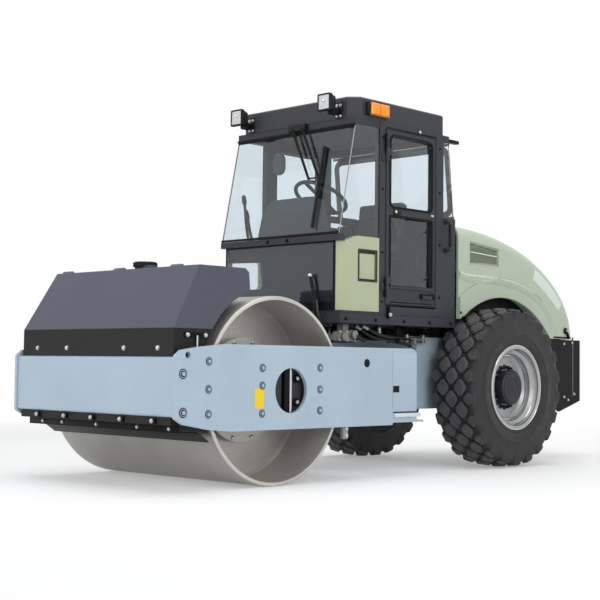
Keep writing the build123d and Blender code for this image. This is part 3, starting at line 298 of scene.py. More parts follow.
# %% Paint plan
paint_plan = {
    frame_paint: ["side_plate_left", "side_plate_right", "front_beam", "rear_crossmember", "drum_carriers",
                  "knuckle", "rear_frame", "front_steps"],
    hood_paint: ["hood"],
    panel_paint: ["corner_panels"],
    cab_paint: ["cab_frame", "cab_floor", "door"],
    roof_paint: ["cab_roof"],
    tank_skin: ["tank_cover"],
    band_rubber: ["tank_base", "scraper_front", "scraper_rear"],
    black_steel: ["bumper", "steering_barrel_left", "steering_barrel_right"],
    hub_paint: ["hub_left", "hub_right"],
    black_plastic: ["wipers", "work_lamps", "steering_wheel"],
    dash_plastic: ["seat_base", "console"],
    black_rubber_and_painted_shade: ["drum_buffers", "tyre_left", "tyre_right"],
    rim_steel: ["rim_left", "rim_right"],
    cast_iron_and_painted_shade: ["engine", "rear_axle"],
    bright_steel: ["steering_rod_left", "steering_rod_right"],
    drum_steel: ["drum", "drum_flanges"],
    cab_glass: ["windscreen", "cab_glass", "door_glass"],
    amber_lens: ["indicators"],
    inner_lining: ["seat_pads", "hood_grilles"],
}
for material, names in paint_plan.items():
    for name in names:
        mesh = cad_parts[name].data
        mesh.materials.clear()
        mesh.materials.append(material)
painted = {name for names in paint_plan.values() for name in names}
print("painted", len(painted), "of", len(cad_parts), set(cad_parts) - painted)

# %% [markdown]
# # Bench tools
# Most added pieces are made from a few forms: turned forms, bevelled bars, cut plates and bent pipes.
# Each tool below makes a small mesh at the origin. A Piece then gathers forms at their places,
# gives every face its finish, and becomes one object that rides on a CAD body.

# %% Places
AS_BUILT = Matrix.Identity(4)
MIRROR_Y = Matrix.Scale(-1, 4, (0, 1, 0))


def at(x, y, z):
    return Matrix.Translation((x, y, z))


def at_drum(x, y, z):
    """A form's place, given from the drum's axle."""
    return Matrix.Translation(from_drum(x, y, z))


def facing(way, spot=(0, 0, 0), twist=0.0):
    """Turns a form's Z axis to point along way, and moves it to spot."""
    turn = Vector(way).to_track_quat("Z", "Y").to_matrix().to_4x4()
    return Matrix.Translation(spot) @ turn @ Matrix.Rotation(twist, 4, "Z")


def to_side(spot, twist=0.0):
    """A place for a form that stands out from the machine's left side."""
    return facing((0, 1, 0), spot, twist)


def to_front(spot, twist=0.0):
    """A place for a form that looks ahead."""
    return facing((1, 0, 0), spot, twist)


def on_both_sides(places):
    """One or more places, together with their mirror images on the other side."""
    places = [places] if isinstance(places, Matrix) else places
    return places + [MIRROR_Y @ place for place in places]


print("one place on both sides makes", len(on_both_sides(at(0, 1, 0))))

# %% [markdown]
# Bars and turned forms make up most of the small things: a machined part has its edges broken,
# and a rounded edge is what catches the light, so every bar gets a small bevel.
# Rods and buttons are turned forms that come up again and again.

# %% Bars and turned forms
def mesh_from(made):
    """Closes a bmesh into a mesh with outward faces."""
    bmesh.ops.recalc_face_normals(made, faces=made.faces)
    mesh = bpy.data.meshes.new("form")
    made.to_mesh(mesh)
    made.free()
    return mesh


def bevel_all(made, width, steps=2, least_angle=0.5):
    """Rounds every edge that bends by more than least_angle radians."""
    edges = [e for e in made.edges if len(e.link_faces) == 2 and e.calc_face_angle() > least_angle]
    if width and edges:
        bmesh.ops.bevel(made, geom=edges, offset=width, segments=steps, profile=0.6, affect="EDGES")


def bar_form(x, y, z, bevel=0.002, steps=2):
    """A bar of three sizes, centred, with rounded edges."""
    made = bmesh.new()
    bmesh.ops.create_cube(made, size=1.0)
    bmesh.ops.scale(made, vec=(x, y, z), verts=made.verts)
    bevel_all(made, bevel, steps)
    return mesh_from(made)


def turned_form(outline, sides=32):
    """Turns an outline of (radius, height) points about Z."""
    made = bmesh.new()
    rings = []
    for radius, height in outline:
        if radius < 1e-6:
            rings.append([made.verts.new((0, 0, height))])
            continue
        turns = [2 * math.pi * step / sides for step in range(sides)]
        rings.append([made.verts.new((radius * math.cos(t), radius * math.sin(t), height)) for t in turns])
    for lower, upper in zip(rings, rings[1:]):
        for step in range(sides):
            after = (step + 1) % sides
            if len(lower) == 1:
                corners = [lower[0], upper[step], upper[after]]
            elif len(upper) == 1:
                corners = [lower[step], lower[after], upper[0]]
            else:
                corners = [lower[step], lower[after], upper[after], upper[step]]
            made.faces.new(corners)
    return mesh_from(made)


def rod_form(radius, length, sides=16):
    """A plain rod or disc that stands on its end."""
    return turned_form([(0, 0), (radius, 0), (radius, length), (0, length)], sides)


def button_form(radius, edge, top_radius, height, sides=20):
    """A round button: straight up to its edge, then drawn in to a flat top."""
    return turned_form([(0, 0), (radius, 0), (radius, edge), (top_radius, height), (0, height)], sides)


print("a plain bar has", len(bar_form(0.1, 0.1, 0.1).polygons), "faces")

# %% [markdown]
# Plates are cut from an outline, as a laser cuts sheet. A window seal is a frame with round corners
# that is thinner at its outer edge, where it lies on the wall.

# %% Plates and frames
def plate_form(outline, thick, bevel=0.001, steps=1):
    """Cuts a plate with an outline in X and Y, from Z 0 up to its thickness."""
    made = bmesh.new()
    face = made.faces.new([made.verts.new((x, y, 0)) for x, y in outline])
    raised = bmesh.ops.extrude_face_region(made, geom=[face])["geom"]
    bmesh.ops.translate(made, vec=(0, 0, thick), verts=[v for v in raised if isinstance(v, bmesh.types.BMVert)])
    bevel_all(made, bevel, steps)
    return mesh_from(made)


def rounded_outline(width, height, radius, steps=6):
    """The outline of a rectangle with round corners, centred."""
    points = []
    corners = ((1, 1, 0), (-1, 1, 90), (-1, -1, 180), (1, -1, 270))
    for sx, sy, start in corners:
        cx, cy = sx * (width / 2 - radius), sy * (height / 2 - radius)
        for step in range(steps + 1):
            angle = math.radians(start + 90 * step / steps)
            points.append((cx + radius * math.cos(angle), cy + radius * math.sin(angle)))
    return points


def frame_form(width, height, radius, rim, thick, steps=6):
    """A flat frame, such as a window seal: a rounded rectangle with its middle cut out."""
    made = bmesh.new()
    outer = rounded_outline(width, height, radius, steps)
    inner = rounded_outline(width - 2 * rim, height - 2 * rim, max(radius - rim, 0.001), steps)
    loops = []
    for outline, level in ((outer, 0.0), (outer, thick * 0.6), (inner, thick), (inner, 0.0)):
        loops.append([made.verts.new((x, y, level)) for x, y in outline])
    count = len(outer)
    for first, second in zip(loops, loops[1:] + loops[:1]):
        for step in range(count):
            after = (step + 1) % count
            made.faces.new([first[step], first[after], second[after], second[step]])
    return mesh_from(made)


print("a frame with round corners has", len(frame_form(0.2, 0.2, 0.02, 0.01, 0.005).polygons), "faces")

# %% [markdown]
# Hoses, rods and handles are pipes along a route, which Blender's curves bend smoothly through a few points.
# A hexagon bolt is two turned forms: a head with six sides and a round washer under it.

# %% Pipes and bolts
def finished_mesh(holder):
    """The mesh an object has once its curve, remesh or cloth is worked out."""
    return bpy.data.meshes.new_from_object(holder.evaluated_get(bpy.context.evaluated_depsgraph_get()))


def pipe_form(points, radius, sides=10, bend=True):
    """A round bar or hose along a route; with bend it runs smoothly through the points."""
    curve = bpy.data.curves.new("route", "CURVE")
    curve.dimensions = "3D"
    curve.bevel_depth = radius
    curve.bevel_resolution = max(1, sides // 4)
    curve.use_fill_caps = True
    curve.resolution_u = 10
    spline = curve.splines.new("BEZIER" if bend else "POLY")
    (spline.bezier_points if bend else spline.points).add(len(points) - 1)
    for index, point in enumerate(points):
        if bend:
            knot = spline.bezier_points[index]
            knot.co = point
            knot.handle_left_type = knot.handle_right_type = "AUTO"
        else:
            spline.points[index].co = (*point, 1.0)
    holder = bpy.data.objects.new("route", curve)
    bpy.context.collection.objects.link(holder)
    mesh = finished_mesh(holder)
    bpy.data.objects.remove(holder)
    return mesh


def hex_bolt_form(size, washer=1.9):
    """A hexagon head on a washer; size is the thread's diameter."""
    made = bmesh.new()
    head = [(size * 0.95, size * 0.15), (size * 0.95, size * 0.62), (size * 0.78, size * 0.72), (0, size * 0.72)]
    made.from_mesh(turned_form(head, 6))
    ring_r = size * washer / 2 * 1.15
    made.from_mesh(turned_form([(0, 0), (ring_r, 0), (ring_r, size * 0.13), (0, size * 0.16)], 20))
    return mesh_from(made)


print("a bolt has", len(hex_bolt_form(0.012).polygons), "faces")

# %% [markdown]
# A Piece is the tray on which forms are laid out. It remembers which finish each face has,
# turns a form inside out again where it was mirrored, and at the end becomes one named object.
# To ride on a body means to move with it when a joint turns.

# %% The piece
class Piece:
    """One named piece, gathered from forms with their finishes, riding on a body."""

    def __init__(self, name):
        self.name = name
        self.made = bmesh.new()
        self.finishes = []

    def add(self, form, finish, places=AS_BUILT):
        """Lays a copy of the form at each place."""
        if finish not in self.finishes:
            self.finishes.append(finish)
        places = [places] if isinstance(places, Matrix) else places
        for place in places:
            copy = form.copy()
            copy.transform(place)
            if place.determinant() < 0:
                copy.flip_normals()
            before = len(self.made.faces)
            self.made.from_mesh(copy)
            self.made.faces.ensure_lookup_table()
            for face in self.made.faces[before:]:
                face.material_index = self.finishes.index(finish)
            bpy.data.meshes.remove(copy)
        return self

    def ride_on(self, body, crease=35):
        """Makes the object and hands it to the body that carries it."""
        mesh = bpy.data.meshes.new(self.name)
        self.made.to_mesh(mesh)
        self.made.free()
        for finish in self.finishes:
            mesh.materials.append(finish)
        mesh.shade_smooth()
        mesh.set_sharp_from_angle(angle=math.radians(crease))
        piece = bpy.data.objects.new(self.name, mesh)
        bpy.context.collection.objects.link(piece)
        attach(piece, body)
        print(self.name, "faces", len(mesh.polygons))
        return piece


print("bench ready:", [name for name in dir(Piece) if name[0] != "_"])

# %% [markdown]
# # The front frame
# The side plates carry bolts in rows where the inner carriers meet them. On a real machine they're
# hexagon bolts on washers, painted with the frame. One bolt form is placed again and again,
# which keeps the rows easy to move.

# %% Bolts on the side plates
BIG_BOLT, ROW_BOLT = 0.014, 0.012
RING_R, RING_THICK = 0.0172, 0.0012
RING_SCALES = (1.80, 1.50)
WASHER_SCALES = (1.42, 1.16)
WASHER_LOW, WASHER_TOP = 0.0006, 0.0024
PLATE_BIG = [(0.824, 0.718), (0.820, 0.487)]
PLATE_ROWS = [(0.619, (0.794, 0.625, 0.474)), (0.165, (0.757, 0.645, 0.470)), (-0.365, (0.760, 0.618, 0.480))]


def rings_at(places, scale, lift=0.0):
    """Places on both sides for a ring of another size, lifted off the plate."""
    return on_both_sides([place @ Matrix.Scale(scale, 4) @ at(0, 0, lift) for place in places])


plate_bolts = Piece("plate_bolts")
big_places = [to_side(from_drum(x, PLATE_Y, z), 0.3) for x, z in PLATE_BIG]
row_places = [to_side(from_drum(x, PLATE_Y, z), 0.9 * z) for x, heights in PLATE_ROWS for z in heights]
plate_bolts.add(hex_bolt_form(BIG_BOLT), frame_paint, on_both_sides(big_places))
plate_bolts.add(hex_bolt_form(ROW_BOLT), frame_paint, on_both_sides(row_places))
# Dark rings round each washer and round each bolt head are painted shadow where they meet the plate.
shadow_ring = rod_form(RING_R, RING_THICK, 24)
for places, scale in zip((big_places, row_places), RING_SCALES):
    plate_bolts.add(shadow_ring, black_rubber_and_painted_shade, rings_at(places, scale))
washer = turned_form([(0, WASHER_LOW), (RING_R, WASHER_LOW), (RING_R, WASHER_TOP), (0, WASHER_TOP)], 24)
for places, scale in zip((big_places, row_places), WASHER_SCALES):
    plate_bolts.add(washer, frame_paint, rings_at(places, scale))
    plate_bolts.add(washer, black_rubber_and_painted_shade, rings_at(places, scale * 0.82, 0.0010))
print("bolts on the plates", 2 * len(big_places + row_places))

# %% [markdown]
# At its rear end each side plate carries a thinner tail plate with a square hole, and a ledge under it. The ledge's
# top is painted paler than the frame as painted highlight, and a dark strip where it meets the plate is painted
# shadow.
# A round lifting hole lies farther ahead. Holes this shallow are dark discs on the surface, their darkness painted
# shade.
# The small yellow label is kept as a blank plate.

# %% Tail plates, holes and label
TAIL_PLATE = (-1.366, -1.107, 0.450, 0.872)
TAIL_THICK = 0.004
LABEL = (0.151, 0.231, 0.502, 0.628)
LABEL_CORNER, LABEL_THICK = 0.006, 0.0012
x0, x1, z0, z1 = TAIL_PLATE
tail = bar_form(x1 - x0, TAIL_THICK, z1 - z0, 0.0015)
tail_place = at_drum((x0 + x1) / 2, PLATE_Y + TAIL_THICK / 2 - 0.001, (z0 + z1) / 2)
plate_bolts.add(tail, frame_paint, on_both_sides(tail_place))
# The square and the round hole are dark discs of painted shade.
square_hole = bar_form(0.066, 0.002, 0.046, 0)
plate_bolts.add(square_hole, black_rubber_and_painted_shade, on_both_sides(at_drum(-1.144, PLATE_Y + TAIL_THICK, 0.615)))
lift_hole = rod_form(0.029, RING_THICK, 32)
plate_bolts.add(lift_hole, black_rubber_and_painted_shade, on_both_sides(to_side(from_drum(-0.834, PLATE_Y, 0.795))))
# The ledge's paler paint is painted highlight, and the dark strip over it is painted shadow.
lit_frame_paint = coat_of("lit_frame_paint", (208, 218, 226), 0.38, coat=0.15)
ledge_plate = bar_form(0.285, 0.078, 0.028, 0.004)
plate_bolts.add(ledge_plate, lit_frame_paint, on_both_sides(at_drum(-1.258, PLATE_Y - 0.018, 0.432)))
ledge_shadow = bar_form(0.270, 0.004, 0.008, 0.001)
plate_bolts.add(ledge_shadow, black_rubber_and_painted_shade, on_both_sides(at_drum(-1.250, PLATE_Y + TAIL_THICK - 0.0005, 0.452)))
x0, x1, z0, z1 = LABEL
label = plate_form(rounded_outline(x1 - x0, z1 - z0, LABEL_CORNER), LABEL_THICK, 0)
plate_bolts.add(label, label_yellow, to_side(from_drum((x0 + x1) / 2, PLATE_Y, (z0 + z1) / 2), math.pi))
plate_bolts.ride_on("front_half")

# %% [markdown]
# Through the round hole in the plate one sees the carrier behind it, with a dark disc of painted shade, a dark bar, a
# bright rod and two bolt heads on bosses. They stand on the carrier, so they're placed from its outer face.

# %% Behind the round hole
CARRIER_FACE = PLATE_Y - 0.067
HOLE_LOW, HOLE_MIDDLE, HOLE_HIGH = 0.462, 0.612, 0.762
BOSS_X, BOSS_HEIGHTS, BOSS_LENGTH = -0.196, (0.535, 0.690), 0.026
hole_parts = Piece("hole_bars")
shade = rod_form(0.165, 0.002, 40)
hole_parts.add(shade, cast_iron_and_painted_shade, on_both_sides(to_side(from_drum(-0.115, CARRIER_FACE, HOLE_MIDDLE))))
bar = bar_form(0.042, 0.030, HOLE_HIGH - HOLE_LOW, 0.004)
hole_parts.add(bar, black_steel, on_both_sides(at_drum(-0.090, CARRIER_FACE + 0.015, HOLE_MIDDLE)))
rod = rod_form(0.012, HOLE_HIGH - HOLE_LOW, 20)
hole_parts.add(rod, bright_steel, on_both_sides(at_drum(-0.138, CARRIER_FACE + 0.014, HOLE_LOW)))
boss = turned_form([(0.026, 0), (0.026, 0.012), (0.018, 0.016), (0.018, BOSS_LENGTH), (0, BOSS_LENGTH)], 24)
for form, finish, lift in ((boss, black_steel, 0), (hex_bolt_form(0.012), zinc, BOSS_LENGTH)):
    spots = [to_side(from_drum(BOSS_X, CARRIER_FACE + lift, z)) for z in BOSS_HEIGHTS]
    hole_parts.add(form, finish, on_both_sides(spots))
hole_parts.ride_on("front_half")

# %% [markdown]
# The tank sits on a dark rubber-faced base. Bolts hold the base from the front, and a row under the beam
# holds the scraper, whose rubber blade leans against the drum. At each end of the rear scraper
# stand a cast bracket and a slanted tie rod.

# %% Scraper and base fittings
_, base_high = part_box("tank_base")
_, cover_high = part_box("tank_cover")
_, scraper_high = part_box("scraper_front")
BASE_ROW_Z, BASE_ROW_Y = 0.872, (-0.616, -0.287, 0.311, 0.640)
PAD_ROW_Z, PAD_ROW_Y = 0.432, (-0.585, -0.280, 0.010, 0.307, 0.617)
STRIP_ROW_Z, STRIP_ROW_Y = 0.385, (-0.62, -0.40, -0.03, 0.385, 0.690)
STRIP_X, STRIP_LOW, STRIP_HIGH, STRIP_HALF = 0.800, 0.362, 0.412, 0.775
BLADE_LEAN = math.radians(-33.8)
BRACKET_X, BRACKET_Y = -0.652, 0.800
tank = Piece("tank_fittings")
tank.add(hex_bolt_form(0.015), zinc, [to_front((base_high.x, y, BASE_ROW_Z), y) for y in BASE_ROW_Y])
pad = bar_form(0.016, 0.060, 0.036, 0.004)
tank.add(pad, black_steel, [at(scraper_high.x + 0.004, y, PAD_ROW_Z) for y in PAD_ROW_Y])
pad_bolts = [at(0.012, 0, 0) @ to_front((scraper_high.x, y, PAD_ROW_Z), y) for y in PAD_ROW_Y]
tank.add(hex_bolt_form(0.013), zinc, pad_bolts)
strip = bar_form(0.008, 2 * STRIP_HALF, STRIP_HIGH - STRIP_LOW, 0.001)
tank.add(strip, black_steel, at_drum(STRIP_X - 0.004, 0, (STRIP_LOW + STRIP_HIGH) / 2))
tank.add(hex_bolt_form(0.011), zinc, [to_front(from_drum(STRIP_X, y, STRIP_ROW_Z), y) for y in STRIP_ROW_Y])
blade = bar_form(0.104, 1.600, 0.006, 0.002)
tank.add(blade, band_rubber, at_drum(0.617, 0, 0.331) @ Matrix.Rotation(BLADE_LEAN, 4, "Y"))
end_bracket = bar_form(0.050, 0.030, 0.100, 0.008)
tank.add(end_bracket, cast_steel, on_both_sides(at_drum(BRACKET_X, BRACKET_Y, 0.330)))
end_bolts = [to_side(from_drum(BRACKET_X, BRACKET_Y + 0.015, z), z) for z in (0.305, 0.352)]
tank.add(hex_bolt_form(0.016), zinc, on_both_sides(end_bolts))
tie = rod_form(0.010, 0.120, 14)
tank.add(tie, zinc, on_both_sides(facing((-0.35, 0, 1), from_drum(BRACKET_X, BRACKET_Y, 0.350))))
print("bolts on base and scraper", len(BASE_ROW_Y + PAD_ROW_Y + STRIP_ROW_Y))

# %% [markdown]
# Three humps are moulded into the tank's slanted front. A bracket with two bolts and a stay holds it at each
# side. The filler cap has upright ribs for a grip; one rib is placed all the way round.

# %% Tank cover and cap
TANK_LEAN = math.radians(44)
CLIP_Z = 0.953
CAP_RIBS, CAP_R, CAP_SHIFT = 32, 0.078, -0.030
hump = bar_form(0.080, 0.115, 0.028, 0.012, 3)
humps = [at_drum(0.604, y, 1.370) @ Matrix.Rotation(TANK_LEAN, 4, "Y") for y in (-0.66, -0.09, 0.49)]
tank.add(hump, tank_skin, humps)
bracket = bar_form(0.190, 0.008, 0.030, 0.002)
tank.add(bracket, black_steel, on_both_sides(at_drum(0.678, cover_high.y + 0.003, CLIP_Z)))
clips = [to_side(from_drum(x, cover_high.y + 0.006, CLIP_Z), x) for x in (0.750, 0.606)]
tank.add(hex_bolt_form(0.013), zinc, on_both_sides(clips))
stay = rod_form(0.007, 0.110, 12)
tank.add(stay, zinc, on_both_sides(at_drum(0.677, cover_high.y + 0.010, 0.840)))
cap_middle = from_drum(0.420, CAP_SHIFT, cover_high.z + 0.004)
cap_body = turned_form([(0.070, -0.050), (0.070, -0.014), (CAP_R, -0.012), (CAP_R, 0.014), (0.072, 0.020),
                        (0, 0.020)], 40)
tank.add(cap_body, black_plastic, Matrix.Translation(cap_middle))
turns = [2 * math.pi * step / CAP_RIBS for step in range(CAP_RIBS)]
cap_rib = bar_form(0.006, 0.006, 0.030, 0.0015, 1)
cap_rim = [Vector((CAP_R * math.cos(t), CAP_R * math.sin(t), 0)) for t in turns]
tank.add(cap_rib, black_plastic, [Matrix.Translation(cap_middle + spot) for spot in cap_rim])
cap_top = turned_form([(0, 0.003), (0.030, 0.003), (0.036, 0.0), (0.036, -0.002)], 32)
tank.add(cap_top, black_plastic, Matrix.Translation(cap_middle + Vector((0, 0, 0.019))))
tank.ride_on("front_half")

# %% [markdown]
# The step plates have a pattern of raised lozenges, as anti-slip sheet has.

# %% Step treads
step_low, step_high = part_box("front_steps")
TREAD_STEP = 0.032 * 0.7
LOZENGE_RISE = 0.0018
lozenge = bmesh.new()
corners = [(0.012, 0, 0), (0, 0.004, 0), (-0.012, 0, 0), (0, -0.004, 0)]
ring = [lozenge.verts.new(corner) for corner in corners]
peak = [lozenge.verts.new((x * 0.5, y * 0.5, LOZENGE_RISE)) for x, y, _ in corners]
lozenge.faces.new(peak)
for step in range(4):
    lozenge.faces.new([ring[step], ring[(step + 1) % 4], peak[(step + 1) % 4], peak[step]])
lozenge = mesh_from(lozenge)
tread_top = step_low.z + 0.014
treads = Piece("step_treads")
places = []
x = step_low.x + 0.020
row = 0
while x < step_low.x + 0.080:
    y = step_high.y - 0.170
    column = 0
    while y < step_high.y - 0.010:
        turn = Matrix.Rotation(math.pi / 4 * (1 if (row + column) % 2 else -1), 4, "Z")
        places.append(Matrix.Translation((x, y, tread_top)) @ turn)
        y += TREAD_STEP
        column += 1
    x += TREAD_STEP
    row += 1
treads.add(lozenge, frame_paint, on_both_sides(places))
treads.ride_on("front_half")

# %% [markdown]
# # Drum ends
# Sixteen rubber buffers join the drum to its driven flanges, and each is bolted from outside.
# The bolts turn with the drum, so the piece rides on the drum's body.
# A weld bead runs round inside the shell, where the web is let into it.

# %% Drum bolts
FLANGE_FACE, WEB_FACE = 0.485, 0.425
BUFFERS, BUFFER_RING = 8, 0.255
RIM_BOLTS, RIM_RING = 12, 0.322
SHELL_IN = DRUM_R - 0.025
drum_fittings = Piece("drum_bolts")
for count, ring_r, size in ((BUFFERS, BUFFER_RING, 0.020), (RIM_BOLTS, RIM_RING, 0.014)):
    spots = []
    for step in range(count):
        turn = 2 * math.pi * (step + 0.5 * (count == RIM_BOLTS)) / count
        spot = (DRUM_X + ring_r * math.cos(turn), FLANGE_FACE, DRUM_Z + ring_r * math.sin(turn))
        spots.append(to_side(spot, turn))
    drum_fittings.add(hex_bolt_form(size), zinc, on_both_sides(spots))
weld = turned_form([(SHELL_IN - 0.016, 0), (SHELL_IN - 0.008, 0.006), (SHELL_IN + 0.001, 0.014)], 96)
drum_fittings.add(weld, drum_steel, on_both_sides(to_side((DRUM_X, WEB_FACE, DRUM_Z))))
drum_fittings.ride_on("drum_roll")

# %% [markdown]
# # Hoses and the rear frame
# Between the frame halves run hydraulic hoses. A hose that crossed the joint would tear when the machine
# steers, so each of these starts and ends on the rear half, in a loop toward the pivot.

# %% Hoses under the cab
PIVOT_X = AXLE_X + 1.000
HOSE_R = 0.013
ROUTES = [
    [(0.300, 0.500, 1.060), (0.150, 0.505, 1.010), (0.000, 0.500, 0.990), (-0.180, 0.470, 0.985),
     (-0.330, 0.452, 0.960)],
    [(0.330, 0.455, 1.060), (0.180, 0.462, 0.995), (0.020, 0.470, 0.970), (-0.160, 0.465, 0.950),
     (-0.330, 0.448, 0.925)],
    [(0.560, 0.300, 1.065), (0.600, 0.315, 1.005), (0.520, 0.330, 0.975), (0.380, 0.320, 0.968),
     (0.240, 0.300, 0.972), (0.120, 0.280, 0.980)],
    [(0.520, 0.250, 1.065), (0.560, 0.262, 1.000), (0.480, 0.270, 0.962), (0.340, 0.270, 0.955),
     (0.120, 0.250, 0.962)],
]
hose_rubber = coat_of("hose_rubber", (24, 24, 26), 0.5, cloud=0.12, peel=0.0004, grain=200.0, soft_edge=0.0)
fitting = turned_form([(0, 0), (0.019, 0), (0.019, 0.020), (0.015, 0.022), (0.015, 0.046), (0.018, 0.048),
                       (0.018, 0.058), (0, 0.058)], 6)
hoses = Piece("hoses")
for route in ROUTES:
    hoses.add(pipe_form(route, HOSE_R, 12), hose_rubber, on_both_sides(AS_BUILT) if route is ROUTES[0] else AS_BUILT)
    ends = []
    for end, inner_point in ((route[0], route[1]), (route[-1], route[-2])):
        way = Vector(inner_point) - Vector(end)
        ends.append(facing(way, Vector(end) - way.normalized() * 0.020))
    hoses.add(fitting, zinc, ends)
print("hoses", len(ROUTES) + 1)

# %% [markdown]
# A post stands on each rail. On the left two bright rods lie along the rail between two eyes.
# The cast valve block has round ports, bolts and a short loop of hose,
# and a hand lever with a bright knob comes up at the cab's front edge.

# %% Valve block, locking rod and lever
VALVE = Vector((0.520, 0.500, 0.985))
HAND_LEVER = [(0.640, 0.430, 1.075), (0.704, 0.424, 1.105), (0.712, 0.388, 1.260), (0.716, 0.356, 1.400)]
LOOP = [(-0.052, 0.050, 0.014), (-0.110, 0.070, -0.020), (-0.180, 0.040, -0.026), (-0.210, -0.030, -0.010)]
FOOT_BOLT_X = 0.134


def on_valve(x, y, z):
    """A place on the left side of the valve block, given from its middle."""
    return to_side((VALVE.x + x, VALVE.y + y, VALVE.z + z))


hoses.add(bar_form(0.100, 0.024, 0.104, 0.006), black_steel, on_both_sides(at(-0.167, 0.444, 1.025)))
lock_rod = rod_form(0.011, 0.190)
hoses.add(lock_rod, bright_steel, [facing((-1, 0, 0), (-0.240, 0.455, z)) for z in (0.999, 0.962)])
lock_eye = bar_form(0.028, 0.036, 0.062, 0.006)
hoses.add(lock_eye, zinc, [at(x, 0.452, 0.986) for x in (-0.236, -0.434)])
hoses.add(bar_form(0.170, 0.070, 0.075, 0.014, 3), cast_steel, Matrix.Translation(VALVE))
hoses.add(bar_form(0.060, 0.060, 0.060, 0.006), cast_steel, at(VALVE.x, VALVE.y - 0.010, 1.042))
port = turned_form([(0, 0), (0.034, 0), (0.034, 0.012), (0.024, 0.016), (0.024, 0.030), (0.030, 0.034),
                    (0.030, 0.046), (0, 0.046)], 24)
hoses.add(port, cast_steel, [on_valve(-0.052, 0.020, 0.014), on_valve(0.050, 0.020, -0.004)])
valve_bolts = [on_valve(x, 0.035, z) for x in (-0.078, 0.0, 0.078) for z in (-0.028, 0.030)]
hoses.add(hex_bolt_form(0.011), zinc, valve_bolts)
hoses.add(pipe_form([VALVE + Vector(point) for point in LOOP], 0.012, 12), hose_rubber)
hoses.add(hex_bolt_form(0.016), zinc, [to_side((FOOT_BOLT_X, 0.500, z), z) for z in (1.046, 1.020)])
hoses.add(bar_form(0.040, 0.030, 0.080, 0.005), black_steel, at(FOOT_BOLT_X, 0.486, 1.030))
hoses.add(pipe_form(HAND_LEVER, HOSE_R, 12), black_steel)
hoses.add(pipe_form([(x + 0.012, y + 0.034, z - 0.02) for x, y, z in HAND_LEVER[:3]], 0.009, 12), hose_rubber)
lever_knob = turned_form([(0, 0), (0.014, 0.002), (0.020, 0.012), (0.018, 0.024), (0, 0.032)], 20)
hoses.add(lever_knob, bright_steel, facing((0, -0.2, 1), HAND_LEVER[-1]))
hoses.add(bar_form(0.120, 0.100, 0.070, 0.006), cast_iron_and_painted_shade, at(0.545, 0.275, 1.040))
hoses.add(bar_form(0.028, 0.110, 0.050, 0.004), black_steel, at(-0.100, 0.440, 0.975))
hoses.ride_on("rear_half")

# %% [markdown]
# Rubber mounts carry the cab on the rails and keep the drum's shaking from the driver. Each is turned
# with two thick rings, as a moulded mount bulges. Bolts hold the kingpin's cap and the axle.

# %% Rear frame fittings
MOUNT_X = (PIVOT_X - 0.280 + 0.850 - 0.060, -0.632 + 0.090)
MOUNT_Y, MOUNT_Z = 0.380, 1.006
KING_RING, KING_Z, KING_TURNS = 0.066, 0.8395, (0.5, 2.6, 3.9, 5.6)
RAIL_FACE = 0.430
_, rear_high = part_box("rear_frame")
frame_bits = Piece("frame_fittings")
mount = turned_form([(0.046, 0.000), (0.058, 0.006), (0.060, 0.018), (0.050, 0.028), (0.060, 0.038), (0.058, 0.050),
                     (0.046, 0.056)], 32)
frame_bits.add(mount, black_rubber_and_painted_shade, [at(x, y, MOUNT_Z) for x in MOUNT_X for y in (-MOUNT_Y, MOUNT_Y)])
king_bolts = [at(PIVOT_X + KING_RING * math.cos(a), KING_RING * math.sin(a), KING_Z) for a in KING_TURNS]
frame_bits.add(hex_bolt_form(0.016), zinc, king_bolts)
axle_bolts = [to_side((AXLE_X + x, RAIL_FACE, AXLE_Z + 0.080), 0.3) for x in (-0.065, 0.065)]
frame_bits.add(hex_bolt_form(0.024), black_steel, on_both_sides(axle_bolts))
# A thin dark strip lies on each rail's outer face, so the rail reads dark.
rail_dark_strip = bar_form(0.560, 0.0035, 0.038, 0.001)
frame_bits.add(rail_dark_strip, black_steel, on_both_sides(at(rear_high.x - 0.282, RAIL_FACE + 0.0015, 0.980)))
frame_bits.ride_on("rear_half")

# %% [markdown]
# # The cab's skin
# Window panes sit in black rubber. Each seal is a flat frame form, turned to face outward and pressed
# against the door or wall. The windscreen and the side panes meet at the corner in a thin pale joint.

# %% Window seals
CAB_SIDE = 0.610
SEAL = 0.016
_, frame_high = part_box("cab_frame")
pane_low, pane_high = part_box("door_glass")
DOOR_BAR = (1.875, 1.940)
WINDOW_TOP, WINDOW_LOW = pane_high.z, pane_low.z
WINDOW_MIDDLE = (pane_low.x + pane_high.x) / 2
WINDOW_LENGTH = pane_high.x - pane_low.x


def side_seal(x0, x1, z0, z1, radius, y, rim=SEAL, thick=0.006):
    """A seal round an opening in a side wall, with the place where it lies."""
    form = frame_form(x1 - x0 + 2 * rim * 0.55, z1 - z0 + 2 * rim * 0.55, radius + rim * 0.5, rim, thick)
    place = to_side(((x0 + x1) / 2, y, (z0 + z1) / 2), math.pi)
    return form, place


upper = side_seal(pane_low.x, pane_high.x, DOOR_BAR[1], WINDOW_TOP, 0.045, CAB_SIDE)
lower = side_seal(pane_low.x, pane_high.x, WINDOW_LOW, DOOR_BAR[0], 0.012, CAB_SIDE)
door_trim = Piece("door_trim")
wall_trim = Piece("cab_trim")
for form, place in (upper, lower):
    door_trim.add(form, black_rubber_and_painted_shade, place)
    wall_trim.add(form, black_rubber_and_painted_shade, MIRROR_Y @ place)
print("window seals", len(door_trim.made.faces) + len(wall_trim.made.faces), "faces")

# %% [markdown]
# The door shuts against a bulb seal. On the leaf are a flush latch at the front of the middle bar,
# a lower kick plate with a pressed line, and covers on the two hinges.

